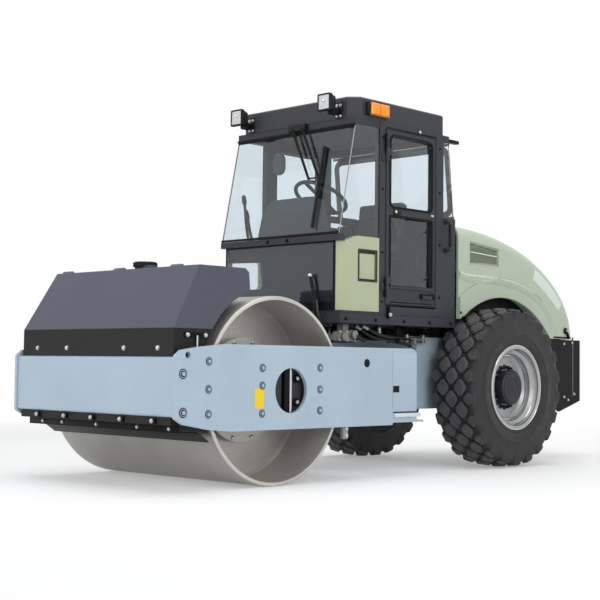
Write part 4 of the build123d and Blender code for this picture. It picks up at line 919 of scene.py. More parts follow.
# %% Door fittings
form, place = side_seal(door_low.x + 0.004, door_high.x - 0.006, door_low.z + 0.003, door_high.z - 0.003, 0.004,
                        CAB_SIDE - 0.004, 0.009, 0.005)
door_trim.add(form, black_rubber_and_painted_shade, place)
LATCH = (0.066, CAB_SIDE, 1.907)
door_trim.add(bar_form(0.090, 0.010, 0.046, 0.004), black_plastic, Matrix.Translation(LATCH))
door_trim.add(button_form(0.012, 0.006, 0.009, 0.009, 20), bright_steel,
              to_side((LATCH[0] + 0.022, CAB_SIDE + 0.004, LATCH[2])))
ledge = bar_form(WINDOW_LENGTH, 0.012, 0.022, 0.005, 3)
door_trim.add(ledge, cab_paint, at(WINDOW_MIDDLE, CAB_SIDE + 0.002, 1.352))
door_trim.add(bar_form(WINDOW_LENGTH, 0.004, 0.008, 0.001), black_rubber_and_painted_shade, at(WINDOW_MIDDLE, CAB_SIDE, 1.243))
door_trim.add(bar_form(0.150, 0.018, 0.030, 0.006, 3), black_rubber_and_painted_shade, at(DRUM_X - 1.768, CAB_SIDE + 0.008, 1.302))
door_trim.add(button_form(0.022, 0.014, 0.016, 0.020, 24), black_rubber_and_painted_shade,
              to_side((DRUM_X - 1.835, CAB_SIDE + 0.004, 1.302)))
door_trim.add(bar_form(0.034, 0.010, 0.016, 0.003), zinc, at(DRUM_X - 1.828, CAB_SIDE + 0.004, 1.914))
hinge = rod_form(0.011, 0.125, 16)
door_trim.add(hinge, black_steel, [at(door_high.x - 0.004, CAB_SIDE + 0.010, z) for z in (2.345, 1.275)])
PULL = [(-0.300, CAB_SIDE - 0.012, 1.430), (-0.300, CAB_SIDE - 0.070, 1.440), (-0.300, CAB_SIDE - 0.070, 1.780),
        (-0.300, CAB_SIDE - 0.012, 1.790)]
door_trim.add(pipe_form(PULL, 0.011, 12), black_plastic)
door_trim.ride_on("cab_door")

# %% [markdown]
# The rest of the cab's skin stays with the rear half. The windscreen is a pane glued onto the cab's front:
# it has a black edge above and below, and its corners meet the side panes in a thin pale joint.
# Places on it are given across and up the slanted glass.

# %% Windscreen edges
GLASS_TOP, SILL_LOW, SILL_TOP = 2.500, 1.655, 1.700
SCREEN_FOOT, SCREEN_HEAD = 0.698, 0.534
SCREEN_HALF = 0.604
lean = math.atan2(SCREEN_FOOT - SCREEN_HEAD, GLASS_TOP - SILL_TOP)
screen_length = math.hypot(SCREEN_FOOT - SCREEN_HEAD, GLASS_TOP - SILL_TOP)
screen_middle = Vector(((SCREEN_FOOT + SCREEN_HEAD) / 2, 0, (GLASS_TOP + SILL_TOP) / 2))
outward = Vector((math.cos(lean), 0, math.sin(lean)))
up_screen = Vector((-math.sin(lean), 0, math.cos(lean)))


def on_screen(y, run, lift=0.0):
    """A place on the windscreen: across, up the glass from its middle, and off its face."""
    spot = screen_middle + up_screen * run + outward * lift
    turn = Matrix.Rotation(-lean, 4, "Y")
    return Matrix.Translation((spot.x, y, spot.z)) @ turn


edge_bar = bar_form(0.004, 2 * SCREEN_HALF, 0.026, 0.001)
wall_trim.add(edge_bar, black_rubber_and_painted_shade, on_screen(0, screen_length / 2 - 0.014, 0.0015))
foot_bar = bar_form(0.014, 2 * SCREEN_HALF, 0.016, 0.003)
wall_trim.add(foot_bar, black_rubber_and_painted_shade, on_screen(0, -screen_length / 2 + 0.010, 0.004))
joint = bar_form(0.007, 0.0055, screen_length - 0.010, 0.0015)
wall_trim.add(joint, joint_grey, [on_screen(y, 0, -0.003) for y in (-SCREEN_HALF + 0.0005, SCREEN_HALF - 0.0005)])
ring_lip = bar_form(0.020, 2 * 0.608, 0.016, 0.004)
wall_trim.add(ring_lip, black_rubber_and_painted_shade, at(SCREEN_HEAD + 0.004, 0, GLASS_TOP - 0.004))
print("the windscreen leans back by", round(math.degrees(lean), 1), "degrees")

# %% [markdown]
# Below the windscreen a second, upright screen closes the cab's front. A dark lining stands behind it,
# cut round the small window of the far corner, which can be seen through the glass.
# The corner panel has a framed recess with a lid; the frame and the floor round the lid are painted dark as painted
# shade.

# %% Lower screen, lining and recess
LOWER_X, LOWER_Z, LOWER_HALF = 0.691, 1.165, 0.562
lower_frame = frame_form(2 * LOWER_HALF, SILL_LOW - LOWER_Z, 0.004, 0.012, 0.005, 2)
wall_trim.add(lower_frame, black_rubber_and_painted_shade, to_front((LOWER_X, 0, (SILL_LOW + LOWER_Z) / 2)))
LINING_X = LOWER_X - 0.026
CORNER_Y, CORNER_Z, CORNER_R = -0.178, 1.533, 0.045
WINDOW_CORNER = [(CORNER_Y - CORNER_R + CORNER_R * math.cos(math.radians(a)),
                  CORNER_Z - CORNER_R + CORNER_R * math.sin(math.radians(a))) for a in range(0, 91, 15)]
lining_edge = [(-0.555, 1.648), (0.555, 1.648), (0.555, 1.172), (-0.555, 1.172), (-0.555, 1.335), (-0.178, 1.335)]
lining_edge += WINDOW_CORNER + [(-0.555, 1.542)]
lining = plate_form(lining_edge, 0.004, 0)
into_cab = Matrix(((0, 0, 1, LINING_X), (1, 0, 0, 0), (0, 1, 0, 0), (0, 0, 0, 1)))
lining_grey = coat_of("lining_grey", (34, 40, 47), 0.6, cloud=0.05, peel=0.00005, gloss=0.2)
wall_trim.add(lining, lining_grey, into_cab)
sill_bolts = [to_front((frame_high.x + 0.001, y, 1.678), y) for y in (-0.100, 0.100)]
wall_trim.add(hex_bolt_form(0.013), black_steel, sill_bolts)
RECESS = (0.294, 0.493, 1.382, 1.603)
# The recess's dark frame and floor are painted shade in the gap round the lid.
recess_shade = coat_of("recess_shade", (62, 66, 54), 0.6, cloud=0.06, peel=0.00005, gloss=0.2)
form, place = side_seal(*RECESS, 0.004, CAB_SIDE, 0.011, 0.004)
wall_trim.add(form, recess_shade, place)
x0, x1, z0, z1 = RECESS
recess_lid = bar_form(x1 - x0 - 0.036, 0.010, z1 - z0 - 0.040, 0.004)
wall_trim.add(recess_lid, panel_paint, at((x0 + x1) / 2 - 0.002, CAB_SIDE - 0.010, (z0 + z1) / 2 - 0.006))
recess_floor = bar_form(x1 - x0, 0.003, z1 - z0, 0.0)
wall_trim.add(recess_floor, recess_shade, at((x0 + x1) / 2, CAB_SIDE - 0.0165, (z0 + z1) / 2))
print("lining corners", len(lining_edge))

# %% [markdown]
# The rear window leans forward and has wide round corners. Small brackets, plugs and bolts sit
# at the roof's rear corners and above the floor's skirt.

# %% Rear window and cab edges
REAR_LEAN = math.atan2(0.064, 0.562)
rear_window = frame_form(2 * SCREEN_HALF - 0.010, 0.560, 0.085, 0.050, 0.004, 8)
rear_turn = at(-0.588, 0, 2.207) @ Matrix.Rotation(REAR_LEAN, 4, "Y") @ facing((-1, 0, 0))
wall_trim.add(rear_window, black_rubber_and_painted_shade, rear_turn)
wall_trim.add(bar_form(0.150, 0.045, 0.028, 0.006), black_steel, on_both_sides(at(-0.640, 0.560, 2.526)))
wall_trim.add(button_form(0.012, 0.010, 0.008, 0.014, 20), zinc,
              on_both_sides(to_side((DRUM_X - 1.673, CAB_SIDE, 2.532))))
wall_trim.add(bar_form(0.026, 0.022, 0.085, 0.006), black_steel,
              on_both_sides(at(DRUM_X - 1.318, CAB_SIDE + 0.010, 1.165)))
wall_trim.add(hex_bolt_form(0.014), zinc, on_both_sides(to_side((DRUM_X - 1.326, CAB_SIDE + 0.020, 1.148))))
rear_edge = bar_form(0.006, 2 * SCREEN_HALF, 0.020, 0.001)
wall_trim.add(rear_edge, black_rubber_and_painted_shade, [at(-0.622, 0, 1.926), at(-0.558, 0, 2.488)])

# %% [markdown]
# The grab rail has a black sleeve between two feet. Small bolts run down the pillars,
# larger ones hold the floor's skirt, and a pressed line runs along it.

# %% Bolts, rail sleeve and skirt
HANDLE_X, HANDLE_LOW, HANDLE_HIGH = -0.512, 1.665, 1.885
HANDLE_Y = CAB_SIDE + 0.045
sleeve = [(HANDLE_X, HANDLE_Y, HANDLE_LOW + 0.024), (HANDLE_X, HANDLE_Y, HANDLE_HIGH - 0.024)]
wall_trim.add(pipe_form(sleeve, 0.0128, 16, False), black_plastic, on_both_sides(AS_BUILT))
foot_disc = button_form(0.024, 0.004, 0.018, 0.008, 24)
feet = [to_side((HANDLE_X, CAB_SIDE, z)) for z in (HANDLE_LOW, HANDLE_HIGH)]
wall_trim.add(foot_disc, black_plastic, on_both_sides(feet))
small_bolt = hex_bolt_form(0.009)
pillar_spots = [to_side((0.233, CAB_SIDE, z), z * 3) for z in (1.24, 1.60, 2.06, 2.44)]
pillar_spots += [to_side((-0.437, CAB_SIDE, z), z * 3) for z in (1.30, 1.70, 2.10, 2.44)]
wall_trim.add(small_bolt, black_steel, on_both_sides(pillar_spots))
SKIRT_BOLTS = (0.620, 0.300, -0.020, -0.320, -0.580)
skirt_spots = [to_side((x, CAB_SIDE, 1.105), x * 4) for x in SKIRT_BOLTS]
wall_trim.add(hex_bolt_form(0.012), black_steel, on_both_sides(skirt_spots))
skirt_line = bar_form(1.300, 0.004, 0.006, 0.0015)
wall_trim.add(skirt_line, cab_paint, on_both_sides(at(0.026, CAB_SIDE + 0.0008, 1.150)))
wall_trim.ride_on("rear_half")

# %% [markdown]
# # Roof, lamps and wipers
# Each work lamp has a square bezel round a silver back with a small bulb and level ribs.
# Bolts hold it on its bracket, and a cable runs down to the roof.
# The turn lamp is an amber lens with one darker rib, on a dark foot; the rib's darker amber is painted shade in the
# groove between the lens's two facets.

# %% Lamps on the roof
_, lamp_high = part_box("work_lamps")
LAMP_Y, LAMP_FRONT, LAMP_Z = 0.455, lamp_high.x, lamp_high.z - 0.0625
lamps = Piece("lamp_fittings")
bezel = frame_form(0.124, 0.124, 0.012, 0.011, 0.006)
lamp_silver = coat_of("lamp_silver", (206, 209, 211), 0.3, metal=0.5, cloud=0.1, coat=0.4, soft_edge=0.001)
mirror_back = plate_form(rounded_outline(0.104, 0.104, 0.006), 0.001, 0)
rib = bar_form(0.098, 0.0022, 0.002, 0.0006, 1)
bulb = turned_form([(0, 0), (0.009, 0), (0.009, 0.010), (0.006, 0.014), (0, 0.015)], 16)
CABLE = [(-0.074, -0.006, 0.010), (-0.100, -0.006, 0.004), (-0.128, -0.004, -0.025)]
for _, sign in SIDES:
    spot = Vector((LAMP_FRONT, sign * LAMP_Y, LAMP_Z))
    lamps.add(bezel, black_plastic, to_front(spot, math.pi / 2))
    lamps.add(mirror_back, lamp_silver, to_front(spot + Vector((0.0005, 0, 0))))
    lamps.add(bulb, reflector, to_front(spot + Vector((0.001, 0, 0.010))))
    ribs = [to_front(spot + Vector((0.0020, 0, step * 0.012))) for step in range(-4, 5)]
    lamps.add(rib, lamp_silver, ribs)
    holders = [facing((-1, 0, 0), (LAMP_FRONT - 0.078, sign * (LAMP_Y + y), LAMP_Z - 0.030), y)
               for y in (-0.018, 0.018)]
    lamps.add(hex_bolt_form(0.010), zinc, holders)
    roof_bolts = [to_front((roof_high.x + 0.008, sign * LAMP_Y + y, z), z) for y in (-0.018, 0.018)
                  for z in (2.572, 2.645)]
    lamps.add(hex_bolt_form(0.011), zinc, roof_bolts)
    side_ear = bar_form(0.070, 0.005, 0.036, 0.002)
    lamps.add(side_ear, black_steel, [at(LAMP_FRONT - 0.112, sign * LAMP_Y + y, LAMP_Z - 0.056)
                                      for y in (-0.028, 0.028)])
    cable = [(LAMP_FRONT + x, sign * LAMP_Y + y, LAMP_Z + z) for x, y, z in CABLE]
    cable.append((roof_high.x + 0.002, sign * LAMP_Y, LAMP_Z - 0.030))
    lamps.add(pipe_form(cable, 0.004, 8), black_rubber_and_painted_shade)
turn_low, turn_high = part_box("indicators")
TURN_Z = (turn_low.z + turn_high.z) / 2
foot = bar_form(0.026, 0.034, 0.094, 0.006)
lamps.add(foot, black_plastic, on_both_sides(at(turn_high.x + 0.010, 0.600 + 0.016, TURN_Z)))
back_foot = bar_form(turn_high.x - turn_low.x + 0.010, 0.010, 0.098, 0.003)
lamps.add(back_foot, black_plastic, on_both_sides(at((turn_low.x + turn_high.x) / 2, 0.604, TURN_Z)))
# The rib's darker amber is painted shade in the lens's groove.
amber_groove_shade = coat_of("amber_groove_shade", (214, 96, 4), 0.3, cloud=0.08, coat=0.3, soft_edge=0.001)
split_rib = bar_form(0.005, 0.052, 0.082, 0.001)
lamps.add(split_rib, amber_groove_shade, on_both_sides(at(turn_low.x + 0.110, 0.6245, TURN_Z)))
lamps.ride_on("rear_half")

# %% [markdown]
# The roof has a small knob near each corner and four shallow ribs along its top.
# The two wiper arms swing out of one cover and hold a blade with a rubber lip.

# %% Roof and wiper fittings
roof_bits = Piece("roof_fittings")
knob = turned_form([(0, -0.002), (0.020, -0.002), (0.020, 0.008), (0.013, 0.014), (0, 0.015)], 24)
knob_spots = [at(x, 0.500, roof_high.z - 0.002) for x in (DRUM_X - 1.151, DRUM_X - 1.961)]
roof_bits.add(knob, roof_paint, on_both_sides(knob_spots))
rib_form = bar_form(0.900, 0.060, 0.006, 0.0025)
roof_bits.add(rib_form, roof_paint, [at(-0.010, y, roof_high.z + 0.001) for y in (-0.300, -0.100, 0.100, 0.300)])
WIPER_ROOT = (0.538, 0.053, 2.527)
cover = bar_form(0.036, 0.175, 0.052, 0.008, 3)
roof_bits.add(cover, black_plastic, at(WIPER_ROOT[0] + 0.017, WIPER_ROOT[1], WIPER_ROOT[2] + 0.001))
pivot = turned_form([(0, 0), (0.015, 0), (0.015, 0.008), (0.011, 0.013), (0, 0.014)], 20)
roof_bits.add(pivot, black_plastic, [to_front((WIPER_ROOT[0] + 0.030, y, WIPER_ROOT[2])) for y in (0.008, 0.106)])
BLADE_Y, BLADE_LOW, BLADE_TOP = 0.352, 1.753, 2.359
lean_run = (SCREEN_FOOT - SCREEN_HEAD) / (GLASS_TOP - SILL_TOP)


def blade_x(z, lift):
    return SCREEN_FOOT - lean_run * (z - SILL_TOP) + lift


rubber_lip = [(blade_x(z, 0.008), BLADE_Y, z) for z in (BLADE_LOW + 0.004, BLADE_TOP - 0.004)]
roof_bits.add(pipe_form(rubber_lip, 0.0055, 8, False), black_rubber_and_painted_shade)
for top_y, foot_y in ((0.008, 0.247), (0.106, 0.345)):
    arm = [(WIPER_ROOT[0] + 0.036, top_y, 2.522), (blade_x(2.126, 0.030), foot_y, 2.126)]
    roof_bits.add(pipe_form(arm, 0.0075, 10, False), black_steel)
roof_bits.ride_on("rear_half")

# %% [markdown]
# # Inside the cab
# The seat's cushions are real soft goods: a rounded box is remeshed into even cloth, its seams and base
# are pinned, and air pressure swells it between them. Then it is fixed in that shape.

# %% Cushion by cloth pressure
CUSHION_FRAMES = 20
MOST_SWELL = 0.022
CLOTH_CELL = 0.0055
SEAM_REACH = 0.006


def swollen(name, size, seams):
    """A cushion centred on its box; seams are the places across it where stitches hold the cloth down."""
    box_mesh = bar_form(size[0] - 0.030, size[1] - 0.030, size[2] - 0.024, 0.030, 4)
    body = bpy.data.objects.new(name, box_mesh)
    bpy.context.collection.objects.link(body)
    remesh = body.modifiers.new("even_cloth", "REMESH")
    remesh.mode = "VOXEL"
    remesh.voxel_size = CLOTH_CELL * 1
    even = finished_mesh(body)
    body.modifiers.clear()
    body.data = even
    rest = [vertex.co.copy() for vertex in even.vertices]
    held = body.vertex_groups.new(name="held")
    floor_level = -size[2] / 2 + 0.024
    for vertex in even.vertices:
        near_seam = any(abs(vertex.co.y - seam) < SEAM_REACH for seam in seams)
        if vertex.co.z < floor_level or near_seam:
            held.add([vertex.index], 1.0, "REPLACE")
    cloth = body.modifiers.new("cloth", "CLOTH")
    settings = cloth.settings
    settings.use_pressure = True
    settings.uniform_pressure_force = 4.0
    settings.vertex_group_mass = "held"
    settings.tension_stiffness = settings.compression_stiffness = 12.0
    settings.bending_stiffness = 0.8
    settings.effector_weights.gravity = 0.0
    scene = bpy.context.scene
    scene.frame_start, scene.frame_end = 1, CUSHION_FRAMES
    cloth.point_cache.frame_start, cloth.point_cache.frame_end = 1, CUSHION_FRAMES
    for step in range(1, CUSHION_FRAMES + 1):
        scene.frame_set(step)
    done = finished_mesh(body)
    scene.frame_set(1)
    body.modifiers.clear()
    moved = 0.0
    for vertex, start in zip(done.vertices, rest):
        way = vertex.co - start
        if way.length > MOST_SWELL:
            vertex.co = start + way.normalized() * MOST_SWELL
        moved = max(moved, (vertex.co - start).length)
    body.data = done
    smooth = body.modifiers.new("smooth", "SUBSURF")
    smooth.levels = smooth.render_levels = 1
    body.data = finished_mesh(body)
    body.modifiers.clear()
    print(name, "points", len(body.data.vertices), "moved", round(moved, 4))
    return body


# %% [markdown]
# The cloth's weave is a bump of two crossed waves over a clouded grey. Piping runs along the seams.
# The backrest is a second cushion that stands on the first and leans back a little.

# %% Seat cushions
def seat_cloth_finish():
    tree = Tree("seat_cloth")
    weave = None
    for way in ("X", "Y"):
        wave = tree.nodes.new("ShaderNodeTexWave")
        wave.bands_direction = way
        wave.inputs["Scale"].default_value = 180.0
        wave.inputs["Distortion"].default_value = 0.6
        tree.join(tree.coords, wave.inputs["Vector"])
        weave = wave.outputs["Fac"] if weave is None else tree.math("MULTIPLY", weave, wave.outputs["Fac"])
    cloud = tree.noise(14.0, 3.0)
    base = picture_colour(58, 62, 66)
    tree.join(tree.blend(cloud, tree.shaded(base, 0.8), tree.shaded(base, 1.2)), tree.shader.inputs["Base Color"])
    tree.shader.inputs["Roughness"].default_value = 0.92
    tree.bump(weave, 0.0006, 0.7)
    return tree.material


seat_cloth = seat_cloth_finish()
SEAT_X = DRUM_X - 1.715
SEAT_TOP = 1.740
PAD = (0.440, 0.480, 0.110)
BACK = (0.330, 0.480, 0.110)
BACK_LEAN = math.radians(12)
BACK_FOOT = Vector((SEAT_X - PAD[0] / 2 + BACK[2] - 0.030, 0, SEAT_TOP + BACK[2] * math.sin(BACK_LEAN) + 0.0003))
seat_place = at(SEAT_X, 0, SEAT_TOP - PAD[2] / 2)
back_turn = Matrix.Translation(BACK_FOOT) @ Matrix.Rotation(-BACK_LEAN, 4, "Y")
back_upright = Matrix.Rotation(math.pi / 2, 4, "Y") @ Matrix.Scale(-1, 4, (1, 0, 0))
back_place = back_turn @ at(-BACK[2] / 2, 0, BACK[0] / 2) @ back_upright
seat = Piece("seat_cushions")
SEAMS = (-0.130, 0.130)
for name, size, place in (("seat_cushion", PAD, seat_place), ("seat_back", BACK, back_place)):
    body = swollen(name, size, SEAMS)
    seat.add(body.data, seat_cloth, place)
    for seam in SEAMS:
        route = [(x, seam, size[2] / 2 - 0.016 - 0.012 * (abs(x) / (size[0] / 2)) ** 4)
                 for x in (-size[0] / 2 + 0.040, -0.06, 0.06, size[0] / 2 - 0.040)]
        piping = pipe_form(route, 0.0035, 8)
        seat.add(piping, black_rubber_and_painted_shade, place)
    bpy.data.objects.remove(body)
cushions = seat.ride_on("rear_half", 60)
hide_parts("seat_pads")

# %% [markdown]
# Levers, a mirror, arm rests and gauges can be seen through the glass as dark shapes,
# so they're kept simple, with soft edges.

# %% Levers, mirror and instruments
inside = Piece("cab_controls")
for root, tip in (((0.535, -0.46, 1.66), (0.515, -0.545, 2.00)), ((0.540, -0.40, 1.66), (0.550, -0.47, 1.88))):
    bend = ((root[0] + tip[0]) / 2, (root[1] + tip[1]) / 2 - 0.01, (root[2] + tip[2]) / 2)
    inside.add(pipe_form([root, bend, tip], 0.011, 10), black_steel)
    grip = turned_form([(0, 0), (0.013, 0.004), (0.019, 0.030), (0.017, 0.070), (0.010, 0.084), (0, 0.086)], 20)
    inside.add(grip, black_plastic, facing(Vector(tip) - Vector(root), tip))
inside.add(bar_form(0.150, 0.230, 0.050, 0.012), black_plastic, at(0.530, -0.430, 1.650))
MIRROR = (0.488, -0.201, 2.290)
mirror_back = plate_form(rounded_outline(0.118, 0.165, 0.056, 8), 0.030, 0.008, 3)
inside.add(mirror_back, dash_plastic, to_front((MIRROR[0] - 0.014, MIRROR[1], MIRROR[2])))
mirror_face = plate_form(rounded_outline(0.100, 0.146, 0.048, 8), 0.002, 0)
inside.add(mirror_face, reflector, facing((-1, 0, 0), (MIRROR[0] - 0.0135, MIRROR[1], MIRROR[2])))
mirror_arm = [(MIRROR[0], MIRROR[1], 2.35), (0.478, -0.201, 2.43), (0.470, -0.201, 2.552)]
inside.add(pipe_form(mirror_arm, 0.008, 10), black_steel)
ARM_REST_Y = (-0.215, 0.215)
arm_rest = bar_form(0.300, 0.062, 0.050, 0.016, 3)
inside.add(arm_rest, seat_cloth, [at(SEAT_X - 0.010, y, 1.925) for y in ARM_REST_Y])
for y in ARM_REST_Y:
    stand = [(SEAT_X - 0.150, y, 1.760), (SEAT_X - 0.140, y, 1.850), (SEAT_X - 0.110, y, 1.915)]
    inside.add(pipe_form(stand, 0.010, 10), black_steel)
gauge = turned_form([(0, 0), (0.034, 0), (0.034, 0.006), (0.029, 0.008), (0.028, 0.004), (0, 0.004)], 28)
dash_way = Vector((-0.35, 0, 1.0)).normalized()
inside.add(gauge, black_plastic, [facing(dash_way, (0.500, y, 1.997)) for y in (-0.120, 0.0, 0.120)])
hub_cover = turned_form([(0, 0), (0.050, 0), (0.050, 0.006), (0.036, 0.014), (0, 0.016)], 32)
WHEEL_TILT = math.radians(30)
wheel_turn = Matrix.Rotation(-WHEEL_TILT, 4, "Y")
inside.add(hub_cover, black_plastic, at(0.243, 0, 2.045) @ wheel_turn @ at(0, 0, 0.024))
inside.add(bar_form(1.110, 1.000, 0.004, 0), inner_lining, at(-0.020, 0, 2.546))
inside.ride_on("rear_half")

# %% [markdown]
# # Pieces that hug a curved skin
# A panel line or a thin plate on the hood must follow its shell. A grid is laid inside the wanted outline
# and each of its points is dropped onto the CAD mesh along one direction, then lifted by the plate's thickness.

# %% Find the skin
FAR_OUT = 2.0


def skin_of(name):
    """A search tree over a CAD mesh in the frame's coordinates."""
    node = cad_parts[name]
    mesh = node.data
    points = [node.matrix_world @ vertex.co for vertex in mesh.vertices]
    return BVHTree.FromPolygons(points, [list(face.vertices) for face in mesh.polygons])


def dropped(skin, x, z, side):
    """Where a line along Y from one side first meets the skin."""
    return skin.ray_cast(Vector((x, side * FAR_OUT, z)), Vector((0, -side, 0)))[0]


def smooth_route(points, parts):
    """More points on a smooth line through a few."""
    route = []
    for index in range(len(points) - 1):
        p0, p1 = points[max(index - 1, 0)], points[index]
        p2, p3 = points[index + 1], points[min(index + 2, len(points) - 1)]
        for step in range(parts):
            t = step / parts
            route.append(tuple(0.5 * (2 * b + (c - a) * t + (2 * a - 5 * b + 4 * c - d) * t ** 2
                                      + (3 * b - a - 3 * c + d) * t ** 3) for a, b, c, d in zip(p0, p1, p2, p3)))
    return route + [tuple(points[-1])]


hood_skin = skin_of("hood")
hood_side_y = dropped(hood_skin, DRUM_X - 2.156, 1.193, 1).y
print("the hood's side stands at", round(hood_side_y, 3))

# %% [markdown]
# A strip is drawn by moving a small section along a route: each of its points is dropped onto the skin
# and lifted. Where the skin jumps, as at an arch or the hood's end, the row is left out.
# A patch is a grid between four corners.

# %% Strips and patches on a skin
LEAST_REACH, MOST_JUMP = 0.3, 0.045
SUNK = -0.002


def strip_form(skin, route, section, side=1):
    """A strip that hugs the skin along a route of (x, z) points; its section is (across, lift) points."""
    made = bmesh.new()
    rows = []
    for index, (x, z) in enumerate(route):
        before, after = route[max(index - 1, 0)], route[min(index + 1, len(route) - 1)]
        along = Vector((after[0] - before[0], after[1] - before[1])).normalized()
        hits = [dropped(skin, x - along.y * reach, z + along.x * reach, side) for reach, _ in section]
        if None in hits:
            continue
        reaches = [side * hit.y for hit in hits]
        if min(reaches) < LEAST_REACH or max(reaches) - min(reaches) > MOST_JUMP:
            continue
        rows.append([made.verts.new((hit.x, hit.y + side * lift, hit.z)) for hit, (_, lift) in zip(hits, section)])
    for lower, upper in zip(rows, rows[1:]):
        for step in range(len(section) - 1):
            made.faces.new([lower[step], lower[step + 1], upper[step + 1], upper[step]])
    for end in (rows[0], rows[-1]):
        if len(end) > 2:
            made.faces.new(end)
    return mesh_from(made)


def band_form(skin, route, width, thick, side=1):
    half = width / 2
    section = [(-half, SUNK), (-half * 0.8, thick), (half * 0.8, thick), (half, SUNK)]
    return strip_form(skin, route, section, side)


def patch_form(skin, corners, thick, cells=(26, 12), side=1, bulge=0.0):
    """A thin plate that hugs the skin between four corners given as (x, z); its far edge may bulge."""
    made = bmesh.new()
    (ax, az), (bx, bz), (cx, cz), (dx, dz) = corners
    grid = []
    for i in range(cells[0] + 1):
        u = i / cells[0]
        column = []
        for j in range(cells[1] + 1):
            v = j / cells[1]
            x = (ax * (1 - u) + bx * u) * (1 - v) + (dx * (1 - u) + cx * u) * v
            z = (az * (1 - u) + bz * u) * (1 - v) + (dz * (1 - u) + cz * u) * v
            swell = bulge * (0.4 + 0.6 * v) * 4 * u * (1 - u)
            x, z = x - swell * 0.6, z + swell * 0.8
            edge = min(i, cells[0] - i, j, cells[1] - j)
            hit = dropped(skin, x, z, side)
            lift = SUNK if edge == 0 else thick
            column.append(made.verts.new((x, (hit.y if hit else side * 0.6) + side * lift, z)))
        grid.append(column)
    for i in range(cells[0]):
        for j in range(cells[1]):
            made.faces.new([grid[i][j], grid[i + 1][j], grid[i + 1][j + 1], grid[i][j + 1]])
    return mesh_from(made)


print("strips and patches can be laid")

# %% [markdown]
# # The hood
# A soft ridge runs from the cab over the wheel arch and down towards the rear. On the real hood it is
# a fold in one moulding; here it is a strip that hugs the shell, with a paler strip along its crest,
# which stands in for the light that a fold catches. The arch below it has a rolled edge.

# %% Ridge and arch
ARCH_X, ARCH_Z = AXLE_X - 0.170, 0.450
hood_low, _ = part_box("hood")
HOOD_BASE = hood_low.z
hood_trim = Piece("hood_trim")


def arc(radius, start, end, steps=48):
    """Points on a circle round the wheel arch's centre, between two angles in degrees."""
    angles = [math.radians(start + (end - start) * step / steps) for step in range(steps + 1)]
    return [(ARCH_X + radius * math.cos(a), ARCH_Z + radius * math.sin(a)) for a in angles]


ARCH_R = 0.885
RIDGE = [(-2.150, 1.511), (-2.178, 1.507), (-2.253, 1.494), (-2.398, 1.491), (-2.546, 1.490), (-2.696, 1.482),
         (-2.849, 1.466), (-3.005, 1.434), (-3.171, 1.382), (-3.284, 1.317), (-3.354, 1.264), (-3.419, 1.194),
         (-3.455, 1.120)]
ridge_route = smooth_route([(DRUM_X + x, z) for x, z in RIDGE], 5)
# This pale gloss is a painted reflection on the hood's shoulder patch; it also colours the grille's light bar.
painted_sheen_and_pale_bar = coat_of("painted_sheen_and_pale_bar", (216, 228, 216), 0.14, cloud=0.03, peel=0.0, soft_edge=0.001, coat=0.6)
hood_crest = coat_of("hood_crest", (208, 221, 200), 0.28, cloud=0.02, peel=0.0, soft_edge=0.0, coat=0.3)
CREST_SECTION = [(-0.0085, -0.001), (-0.004, 0.0095), (0.000, 0.0135), (0.008, 0.0148)]
RIDGE_SECTION = [(-0.010, -0.002), (-0.004, 0.008), (0.000, 0.012), (0.010, 0.0135), (0.024, 0.0125), (0.044, 0.006),
                 (0.062, -0.0015)]
for side in (1, -1):
    hood_trim.add(strip_form(hood_skin, ridge_route, RIDGE_SECTION, side), hood_paint)
    hood_trim.add(strip_form(hood_skin, ridge_route, CREST_SECTION, side), hood_crest)
rolled = [(x, 0.634, z) for x, z in arc(ARCH_R + 0.004, 54, 139)]
hood_trim.add(pipe_form(rolled, 0.008, 10, False), hood_paint, on_both_sides(AS_BUILT))
print("ridge points", len(ridge_route))

# %% [markdown]
# The grille is a frame with a slanted upper edge. Its slats lie one above the other and lean outward,
# so that rain runs off them, and a dark plate stands behind them as painted shade. A light bar crosses the middle.
# The piece takes the CAD grille's place and keeps its outline.

# %% Grilles
grille_low, grille_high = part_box("hood_grilles")
GX0, GX1, GZ0, GZ1 = grille_low.x, grille_high.x, grille_low.z, grille_high.z
REAR_DROP = 0.035
GRILLE_FACE, GRILLE_BACK = 0.614, 0.614 - 0.012
FRAME_RIM = 0.012


def grille_outline(grow):
    """The grille's four corners as (x, z), moved outward by grow."""
    return [(GX1 + grow, GZ0 - grow), (GX1 + grow, GZ1 + grow), (GX0 - grow, GZ1 - REAR_DROP + grow),
            (GX0 - grow, GZ0 - grow)]


grille = Piece("grille_slats")
outline, inner_outline = grille_outline(0.0), grille_outline(-FRAME_RIM)
made = bmesh.new()
loops = []
for loop, y in ((outline, GRILLE_BACK), (outline, GRILLE_FACE), (inner_outline, GRILLE_FACE),
                (inner_outline, GRILLE_BACK)):
    loops.append([made.verts.new((x, y, z)) for x, z in loop])
for first, second in zip(loops, loops[1:] + loops[:1]):
    for step in range(4):
        made.faces.new([first[step], first[(step + 1) % 4], second[(step + 1) % 4], second[step]])
grille_olive = coat_of("grille_olive", (158, 169, 147), 0.5, cloud=0.04, peel=0.0001)
grille_shade = coat_of("grille_shade", (104, 112, 96), 0.7, cloud=0.06, peel=0.0002, gloss=0.2)
grille.add(mesh_from(made), grille_olive, on_both_sides(AS_BUILT))
SLATS = 17
LIGHT_BAR_Z = 1.668
SLAT_FALL, SLAT_LEAN = math.radians(-2.6), math.radians(-35)
SHORTEST_SLAT = 0.03
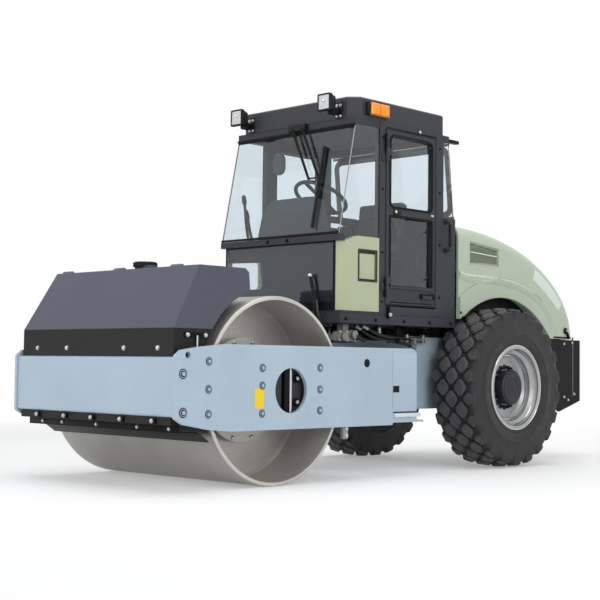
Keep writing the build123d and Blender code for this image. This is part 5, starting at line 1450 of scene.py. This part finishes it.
for step in range(SLATS):
    z = GZ0 + FRAME_RIM + (step + 0.5) * (GZ1 - GZ0 - 2 * FRAME_RIM) / SLATS
    back = GX0 + FRAME_RIM
    if z > GZ1 - REAR_DROP - FRAME_RIM:
        back += (z - (GZ1 - REAR_DROP - FRAME_RIM)) * (GX1 - GX0) / REAR_DROP
    if GX1 - FRAME_RIM - back < SHORTEST_SLAT:
        continue
    slat = bar_form(GX1 - FRAME_RIM - back + 0.002, 0.011, 0.0035, 0.0008, 1)
    turn = Matrix.Rotation(SLAT_FALL, 4, "Y") @ Matrix.Rotation(SLAT_LEAN, 4, "X")
    grille.add(slat, grille_olive, on_both_sides(at((GX1 - FRAME_RIM + back) / 2, GRILLE_FACE - 0.006, z) @ turn))
# The dark plate behind the slats is painted shade.
back_plate = bar_form(GX1 - GX0 - 0.004, 0.002, GZ1 - GZ0 - REAR_DROP, 0)
grille.add(back_plate, grille_shade, on_both_sides(at((GX0 + GX1) / 2, 0.6015, (GZ0 + GZ1 - REAR_DROP) / 2)))
light_bar = bar_form(GX1 - GX0 - 2 * FRAME_RIM, 0.006, 0.009, 0.002)
bar_place = at((GX0 + GX1) / 2, GRILLE_FACE + 0.001, LIGHT_BAR_Z) @ Matrix.Rotation(SLAT_FALL, 4, "Y")
grille.add(light_bar, painted_sheen_and_pale_bar, on_both_sides(bar_place))
made = grille.ride_on("engine_hood")
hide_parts("hood_grilles")
grille_edge = grille_outline(0.006)
for first, second in zip(grille_edge, grille_edge[1:] + grille_edge[:1]):
    route = [(first[0] + (second[0] - first[0]) * s / 6, first[1] + (second[1] - first[1]) * s / 6) for s in range(7)]
    for side in (1, -1):
        hood_trim.add(band_form(hood_skin, route, 0.010, 0.0025, side), hood_paint)

# %% [markdown]
# A pale glossy patch on the hood's rear shoulder is a painted reflection of the light on that facet. Strips of rubber
# close the gap over the bumper, and a rubber latch holds the hood down at each rear corner.

# %% Hood panel and latches
PANEL = [(DRUM_X + x, z) for x, z in ((-3.160, 1.505), (-3.559, 1.248), (-3.612, 1.316), (-3.196, 1.606))]
for side in (1, -1):
    hood_trim.add(patch_form(hood_skin, PANEL, 0.0015, (30, 8), side, 0.026), painted_sheen_and_pale_bar)
    rear_line = [(hood_low.x + 0.030 + step * 0.02, HOOD_BASE + 0.012) for step in range(20)]
    hood_trim.add(band_form(hood_skin, rear_line, 0.016, 0.004, side), black_rubber_and_painted_shade)
LATCH_TOP, LATCH_FOOT = from_drum(-3.657, 0, 1.091), from_drum(-3.700, 0, 1.036)
for side in (1, -1):
    top, foot = (dropped(hood_skin, spot.x, max(spot.z, HOOD_BASE + 0.006), side) for spot in (LATCH_TOP, LATCH_FOOT))
    outside = Vector((0, side, 0))
    eye = turned_form([(0, 0), (0.026, 0), (0.026, 0.012), (0.020, 0.018), (0.010, 0.018), (0, 0.012)], 24)
    hood_trim.add(eye, black_rubber_and_painted_shade, facing(outside, top - outside * 0.004))
    pin = turned_form([(0, 0), (0.008, 0), (0.007, 0.010), (0, 0.011)], 16)
    hood_trim.add(pin, zinc, facing(outside, top + outside * 0.010))
    strap = [top + outside * 0.006, (top + foot) / 2 + outside * 0.012, foot + outside * 0.008]
    hood_trim.add(pipe_form(strap, 0.011, 12), black_rubber_and_painted_shade)
hood_trim.add(hex_bolt_form(0.010), black_steel, on_both_sides(to_side((DRUM_X - 2.156, hood_side_y, 1.193))))
hood_trim.ride_on("engine_hood")

# %% [markdown]
# # The bumper
# Its side plates have a folded edge and bolts near their corners; a lighter strip along the fold is a painted
# highlight. At the back are two lamp clusters and a row of slots that lets air through, drawn as dark bars of painted
# shade. A dark plate stands inside each wheel arch, so that the arch is as dark as it looks on the real machine.

# %% Bumper fittings
BUMPER_BOLTS = [(-3.735, 0.990), (-3.610, 0.979), (-3.610, 0.528), (-3.674, 0.502), (-3.768, 0.552)]
bumper = Piece("bumper_fittings")
spots = [to_side((max(DRUM_X + x, bumper_low.x + 0.030), bumper_high.y, z), z * 5) for x, z in BUMPER_BOLTS]
bumper.add(hex_bolt_form(0.011), zinc, on_both_sides(spots))
# A lighter strip along each side plate's fold is a painted highlight.
fold_highlight = coat_of("fold_highlight", (52, 53, 59), 0.35, cloud=0.1, peel=0.0, soft_edge=0.001)
fold = bar_form(0.022, 0.004, bumper_high.z - 0.540, 0.0015)
fold_place = at(bumper_low.x + 0.118, bumper_high.y + 0.0006, (bumper_high.z + 0.520) / 2)
bumper.add(fold, fold_highlight, on_both_sides(fold_place))
cluster = bar_form(0.020, 0.210, 0.095, 0.008, 3)
REAR_LAMP_Y, REAR_LAMP_Z = 0.480, 0.860
bumper.add(cluster, black_plastic, on_both_sides(at(bumper_low.x + 0.004, REAR_LAMP_Y, REAR_LAMP_Z)))
red_lens = coat_of("red_lens", (176, 22, 18), 0.18, cloud=0.08, coat=0.6, soft_edge=0.004)
half_lens = bar_form(0.008, 0.090, 0.075, 0.004, 2)
for lens, shift in ((red_lens, -0.050), (amber_lens, 0.050)):
    bumper.add(half_lens, lens, on_both_sides(at(bumper_low.x - 0.006, REAR_LAMP_Y + shift, REAR_LAMP_Z)))
# Each slot is a dark bar, as painted shade in the opening.
slot = bar_form(0.004, 0.420, 0.014, 0.0015)
bumper.add(slot, black_rubber_and_painted_shade, [at(bumper_low.x - 0.0005, 0, 0.720 + 0.034 * step) for step in range(6)])
back_bolts = [facing((-1, 0, 0), (bumper_low.x, y, z), z) for y in (-0.560, 0.560) for z in (0.560, 0.950)]
bumper.add(hex_bolt_form(0.020), black_steel, back_bolts)
LINER_R, LINER_Y = 0.930, 0.497
LINER_FRONT, LINER_FOOT = -0.655, 0.955
front_angle = math.degrees(math.acos((LINER_FRONT - ARCH_X) / LINER_R))
liner_edge = arc(LINER_R, front_angle, 142, 24)
liner_edge += [(liner_edge[-1][0], LINER_FOOT), (LINER_FRONT, LINER_FOOT)]
liner = plate_form(liner_edge, 0.005, 0)
upright = Matrix(((1, 0, 0, 0), (0, 0, 1, LINER_Y), (0, 1, 0, 0), (0, 0, 0, 1)))
bumper.add(liner, black_rubber_and_painted_shade, on_both_sides(upright))
bumper.ride_on("rear_half")

# %% [markdown]
# # Tyres
# A roller's drive tyres have a tread of staggered diamond blocks with shoulder blocks that wrap
# down the sidewall. The CAD tyre has the same blocks with flat faces, so this one keeps their number,
# places and sizes, and adds what a mould gives: a round carcass, soft block edges
# and rings on the sidewall. It takes the CAD tyre's place.

# %% Tread blocks
TYRE_HALF = 0.189
LUG_DEPTH = 0.026
LUG_ROOT = 0.025
LUG_LENGTH, LUG_WIDTH = 0.066, 0.054
LUG_TIP, LUG_FLANK = 0.013, 0.020
LUG_COLUMN = 0.080
LUG_DRAFT = 0.80
PITCHES = 22
CROWN_DROP = 0.010
BEAD_R = 0.333


def lug_form(outline, low, high, bevel=0.003):
    """A block with drafted sides; the outline is (along, across), and Z is the distance from the axle."""
    middle = sum(across for _, across in outline) / len(outline)
    made = bmesh.new()
    rings = []
    for radius, share in ((low, 1.0), (high - 0.011, 0.95), (high - 0.008, LUG_DRAFT + 0.02),
                          (high, LUG_DRAFT - 0.02)):
        rings.append([made.verts.new((along * share, middle + (across - middle) * share, radius))
                      for along, across in outline])
    made.faces.new(rings[-1])
    for lower, upper in zip(rings, rings[1:]):
        for step in range(len(outline)):
            after = (step + 1) % len(outline)
            made.faces.new([lower[step], lower[after], upper[after], upper[step]])
    bevel_all(made, bevel, 1, 0.7)
    return mesh_from(made)


def turned_at(angle):
    """Carries a form that stands up from the axle round to an angle from straight up."""
    return Matrix.Rotation(angle, 4, "Y")


def diamond_outline(length, width, tip, flank):
    """A diamond with its four points cut off."""
    quarter = [(length, tip), (flank, width)]
    half = quarter + [(-x, y) for x, y in reversed(quarter)]
    return half + [(-x, -y) for x, y in half]


DIAMOND = diamond_outline(LUG_LENGTH, LUG_WIDTH, LUG_TIP, LUG_FLANK)
print("a diamond block has", len(lug_form(DIAMOND, 0.5, 0.6).polygons), "faces")

# %% [markdown]
# The carcass is turned from a profile with a flat bead seat, a bulged sidewall with two thin rings
# and a crown that falls away at the shoulders. Its outline is a little inside the blocks' tops everywhere.

# %% Tyre forms
def carcass_form():
    tread = TYRE_R - LUG_DEPTH
    half = [(0.3056, 0.1645), (BEAD_R, 0.1645), (BEAD_R + 0.004, 0.176), (BEAD_R + 0.016, 0.1795),
            (BEAD_R + 0.020, 0.1765), (BEAD_R + 0.040, 0.1825), (BEAD_R + 0.062, 0.1850),
            (BEAD_R + 0.080, 0.1865), (BEAD_R + 0.083, 0.1885), (BEAD_R + 0.089, 0.1888), (BEAD_R + 0.092, 0.1872),
            (tread - 0.095, 0.1886), (tread - 0.060, 0.1868), (tread - 0.030, 0.1825), (tread - 0.012, 0.1745),
            (tread - 0.006, 0.160), (tread - 0.004, 0.145), (tread - 0.006, 0.112), (tread - 0.003, 0.060),
            (tread, 0.020)]
    outline = half + [(radius, -across) for radius, across in reversed(half)]
    return turned_form(outline + [outline[0]], 96)


def tread_places(tyre, finish):
    low = TYRE_R - LUG_DEPTH - LUG_ROOT
    centre = lug_form(DIAMOND, low, TYRE_R - 0.0004)
    spin = [2 * math.pi * step / PITCHES for step in range(PITCHES)]
    half_pitch = math.pi / PITCHES
    tyre.add(centre, finish, [turned_at(math.pi + angle) for angle in spin])
    for side in (-1, 1):
        column = [(along, across + side * LUG_COLUMN) for along, across in DIAMOND]
        block = lug_form(column, low, TYRE_R - CROWN_DROP * 0.6)
        tyre.add(block, finish, [turned_at(math.pi + angle + half_pitch) for angle in spin])
        inner = side * (2 * LUG_COLUMN - LUG_WIDTH)
        shoulder = [(-0.016, inner), (0.016, inner), (LUG_LENGTH * 0.88, side * (2 * LUG_COLUMN - 0.008)),
                    (LUG_LENGTH * 0.66, side * (TYRE_HALF - 0.001)), (-LUG_LENGTH * 0.66, side * (TYRE_HALF - 0.001)),
                    (-LUG_LENGTH * 0.88, side * (2 * LUG_COLUMN - 0.008))]
        form = lug_form(shoulder, TYRE_R - LUG_DEPTH - 0.060, TYRE_R - CROWN_DROP * 1.5, 0.005)
        tyre.add(form, finish, [turned_at(math.pi + angle) for angle in spin])


print("blocks on a tyre", 5 * PITCHES)

# %% [markdown]
# The rubber is black in the grooves and greyer on the blocks' tops: partly dust that sticks there, partly painted
# shade in the grooves. The distance from the axle tells the shader where that is. The left and the right tyre are
# made alike.

# %% Tyre rubber and the two tyres
def tyre_finish():
    """Black rubber, greyer on the blocks' tops as dust and darker in the grooves as painted shade."""
    tree = Tree("tyre_rubber")
    radius, _, _ = round_axle(tree, AXLE_X, AXLE_Z)
    cloud = tree.noise(11.0, 4.0)
    on_top = tree.ramp(radius, 0.0, 1.0, TYRE_R - LUG_DEPTH, TYRE_R - 0.012)
    dust_and_groove_shade = tree.math("MULTIPLY", on_top, tree.ramp(cloud, 0.55, 1.0))
    mixed = tree.blend(dust_and_groove_shade, picture_colour(34, 34, 36), picture_colour(84, 84, 86))
    tree.join(mixed, tree.shader.inputs["Base Color"])
    tree.join(tree.ramp(cloud, 0.48, 0.62), tree.shader.inputs["Roughness"])
    tree.shader.inputs["Specular IOR Level"].default_value = 0.4
    tree.bump(tree.noise(120.0, 3.0), 0.0004, 1.0, 0.004)
    return tree.material


tyre_rubber = tyre_finish()
for side, sign in SIDES:
    tyre = Piece("tyre_" + side + "_tread")
    turn = Matrix.Translation((AXLE_X, sign * WHEEL_Y, AXLE_Z))
    carcass = carcass_form()
    carcass.transform(Matrix.Rotation(math.pi / 2, 4, "X"))
    tyre.add(carcass, tyre_rubber)
    tread_places(tyre, tyre_rubber)
    for vertex in tyre.made.verts:
        vertex.co = turn @ vertex.co
    made = tyre.ride_on("wheel_" + side, 30)
    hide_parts("tyre_" + side)

# %% [markdown]
# The rim's disc is held by a ring of nuts on studs. The hub has a plain cover with a raised centre.
# Thin beads mark the steps of the rim, and a valve stem stands in the disc. The bright beads are painted highlights
# on the step edges, and the dark ones are painted shade in the steps.

# %% Wheel nuts and hub covers
_, rim_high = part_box("rim_left")
_, hub_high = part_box("hub_left")
DISC_FACE = rim_high.y - 0.118
STUDS, STUD_RING = 18, 0.157
rim_shade = coat_of("rim_shade", (96, 97, 99), 0.4, metal=0.4, soft_edge=0.001)
# Bright beads are painted highlights on the rim's step edges, and rim_shade beads are painted shade in its steps.
RIM_BEADS = [(0.3260, 0.0, bright_steel), (0.3080, 0.0, rim_steel), (0.2960, 0.006, rim_shade),
             (0.2880, 0.030, bright_steel), (0.2640, 0.060, rim_shade), (0.2500, 0.086, bright_steel)]
for side, sign in SIDES:
    nuts = Piece("wheel_nuts_" + side)
    flip = AS_BUILT if sign > 0 else MIRROR_Y
    spots = []
    for step in range(STUDS):
        turn = 2 * math.pi * (step + 0.5) / STUDS
        spot = (AXLE_X + STUD_RING * math.cos(turn), DISC_FACE, AXLE_Z + STUD_RING * math.sin(turn))
        spots.append(flip @ to_side(spot, turn))
    nuts.add(hex_bolt_form(0.019), hub_paint, spots)
    nuts.add(button_form(0.008, 0.034, 0.006, 0.038, 14), black_steel, spots)
    cover = turned_form([(0.117, -0.002), (0.116, 0.002), (0.074, 0.003), (0.070, 0.007), (0.064, 0.007),
                         (0.060, 0.003), (0.030, 0.003), (0.026, 0.007), (0, 0.008)], 56)
    nuts.add(cover, hub_paint, flip @ to_side((AXLE_X, hub_high.y, AXLE_Z)))
    for ring_r, depth, finish in RIM_BEADS:
        bead = turned_form([(ring_r - 0.005, -0.001), (ring_r - 0.003, 0.003), (ring_r + 0.003, 0.003),
                            (ring_r + 0.005, -0.001)], 72)
        nuts.add(bead, finish, flip @ to_side((AXLE_X, rim_high.y - depth, AXLE_Z)))
    valve = turned_form([(0, 0), (0.006, 0), (0.006, 0.030), (0.004, 0.032), (0.004, 0.044), (0, 0.044)], 12)
    nuts.add(valve, bright_steel, flip @ to_side((AXLE_X + 0.215, DISC_FACE - 0.004, AXLE_Z)))
    nuts.ride_on("wheel_" + side)

# %% [markdown]
# # The stage
# The picture shows the machine in a white studio from the front left, low down and with a long lens.
# The camera's place and turn were fitted to the drum, the tyres and the cab's edges.
# The floor is pale and keeps the shadow. Far from the machine it turns into plain white,
# by a mix that only camera, mirror and glass rays see.

# %% Camera
CAMERA_SPOT = from_drum(5.842, 6.670, 0.790)
CAMERA_YAW = math.radians(-135.863)
CAMERA_PITCH = math.radians(2.805)
CAMERA_ROLL = math.radians(0.65)
CAMERA_LENS = 77.27
camera_data = bpy.data.cameras.new("camera")
camera_data.lens = CAMERA_LENS
camera_data.sensor_width = 36.0
camera_data.clip_end = 100.0
camera = bpy.data.objects.new("camera", camera_data)
bpy.context.collection.objects.link(camera)
look = Matrix.Rotation(CAMERA_YAW - math.pi / 2, 4, "Z") @ Matrix.Rotation(math.pi / 2 + CAMERA_PITCH, 4, "X")
camera.matrix_world = Matrix.Translation(CAMERA_SPOT) @ look @ Matrix.Rotation(CAMERA_ROLL, 4, "Z")
bpy.context.scene.camera = camera
print("camera at", [round(v, 2) for v in CAMERA_SPOT])

# %% [markdown]
# In the picture the ground under the machine is nearly as white as the air round it. So the floor takes
# shadows close by, and both the floor's far parts and the world behind it turn to plain white.

# %% Floor
def background_share(nodes, links):
    """1 for rays that look straight, in a mirror or through glass at the background, else 0."""
    path = nodes.new("ShaderNodeLightPath")
    total = None
    for name in ("Is Camera Ray", "Is Glossy Ray", "Is Transmission Ray"):
        if total is None:
            total = path.outputs[name]
            continue
        node = nodes.new("ShaderNodeMath")
        node.operation = "MAXIMUM"
        links.new(total, node.inputs[0])
        links.new(path.outputs[name], node.inputs[1])
        total = node.outputs[0]
    return total


LEAST_WHITE = 0.30


def studio_floor():
    """A pale floor whose far parts fade into the white background."""
    tree = Tree("studio_floor")
    tree.shader.inputs["Base Color"].default_value = (0.92, 0.92, 0.92, 1)
    tree.shader.inputs["Roughness"].default_value = 0.7
    tree.shader.inputs["Specular IOR Level"].default_value = 0.2
    white = tree.nodes.new("ShaderNodeEmission")
    length = tree.nodes.new("ShaderNodeVectorMath")
    length.operation = "LENGTH"
    tree.join(tree.coords, length.inputs[0])
    fade = tree.ramp(length.outputs["Value"], 0.0, 1.0, 3.2, 8.0)
    lit = tree.math("MAXIMUM", fade, LEAST_WHITE)
    share = tree.math("MULTIPLY", lit, background_share(tree.nodes, tree.links))
    mixed = tree.nodes.new("ShaderNodeMixShader")
    tree.join(share, mixed.inputs["Fac"])
    tree.join(tree.shader.outputs[0], mixed.inputs[1])
    tree.join(white.outputs[0], mixed.inputs[2])
    tree.join(mixed.outputs[0], tree.output.inputs["Surface"])
    return tree.material


FLOOR_SIZE = 60.0
bpy.ops.mesh.primitive_plane_add(size=FLOOR_SIZE)
floor = bpy.context.object
floor.name = "floor"
floor.data.materials.append(studio_floor())

print("floor laid", FLOOR_SIZE)

# %% [markdown]
# The world gives a soft light from everywhere, a little blue, as a room with white walls does.
# Rays that look straight at it see pure white instead.

# %% World
ROOM_LIGHT = 0.50
world = bpy.data.worlds.new("studio")
world.use_nodes = True
bpy.context.scene.world = world
sky_nodes, sky_links = world.node_tree.nodes, world.node_tree.links
room = sky_nodes["Background"]
room.inputs["Color"].default_value = (0.96, 0.98, 1.0, 1)
room.inputs["Strength"].default_value = ROOM_LIGHT
shown = sky_nodes.new("ShaderNodeBackground")
shown.inputs["Color"].default_value = (1, 1, 1, 1)
both = sky_nodes.new("ShaderNodeMixShader")
sky_links.new(background_share(sky_nodes, sky_links), both.inputs["Fac"])
sky_links.new(room.outputs[0], both.inputs[1])
sky_links.new(shown.outputs[0], both.inputs[2])
sky_links.new(both.outputs[0], sky_nodes["World Output"].inputs["Surface"])
print("the world lights with", ROOM_LIGHT)

# %% [markdown]
# Four large soft lamps light the machine: one overhead, one at each front corner and one behind.
# The glass and the camera don't see them, so no bright squares stand in the windows.

# %% Lamps
def softbox(name, spot, target, size, power):
    """A large square lamp that looks at a target."""
    data = bpy.data.lights.new(name, "AREA")
    data.shape = "SQUARE"
    data.size = size
    data.energy = power
    lamp = bpy.data.objects.new(name, data)
    bpy.context.collection.objects.link(lamp)
    lamp.location = spot
    lamp.rotation_mode = "QUATERNION"
    lamp.rotation_quaternion = (Vector(target) - Vector(spot)).to_track_quat("-Z", "Y")
    lamp.visible_camera = lamp.visible_transmission = False
    return lamp


MIDDLE = (0.0, 0.0, 1.0)
softbox("overhead", (0.5, 0.5, 7.0), MIDDLE, 6.0, 265)
softbox("left_front", (3.0, 8.0, 4.5), MIDDLE, 4.0, 210)
softbox("right_front", (8.0, -1.5, 3.5), MIDDLE, 4.0, 140)
softbox("behind", (-7.0, -4.0, 4.0), MIDDLE, 4.0, 120)
bpy.context.scene.view_settings.view_transform = "Standard"
print("lamps hung")

# %% [markdown]
# # Last steps
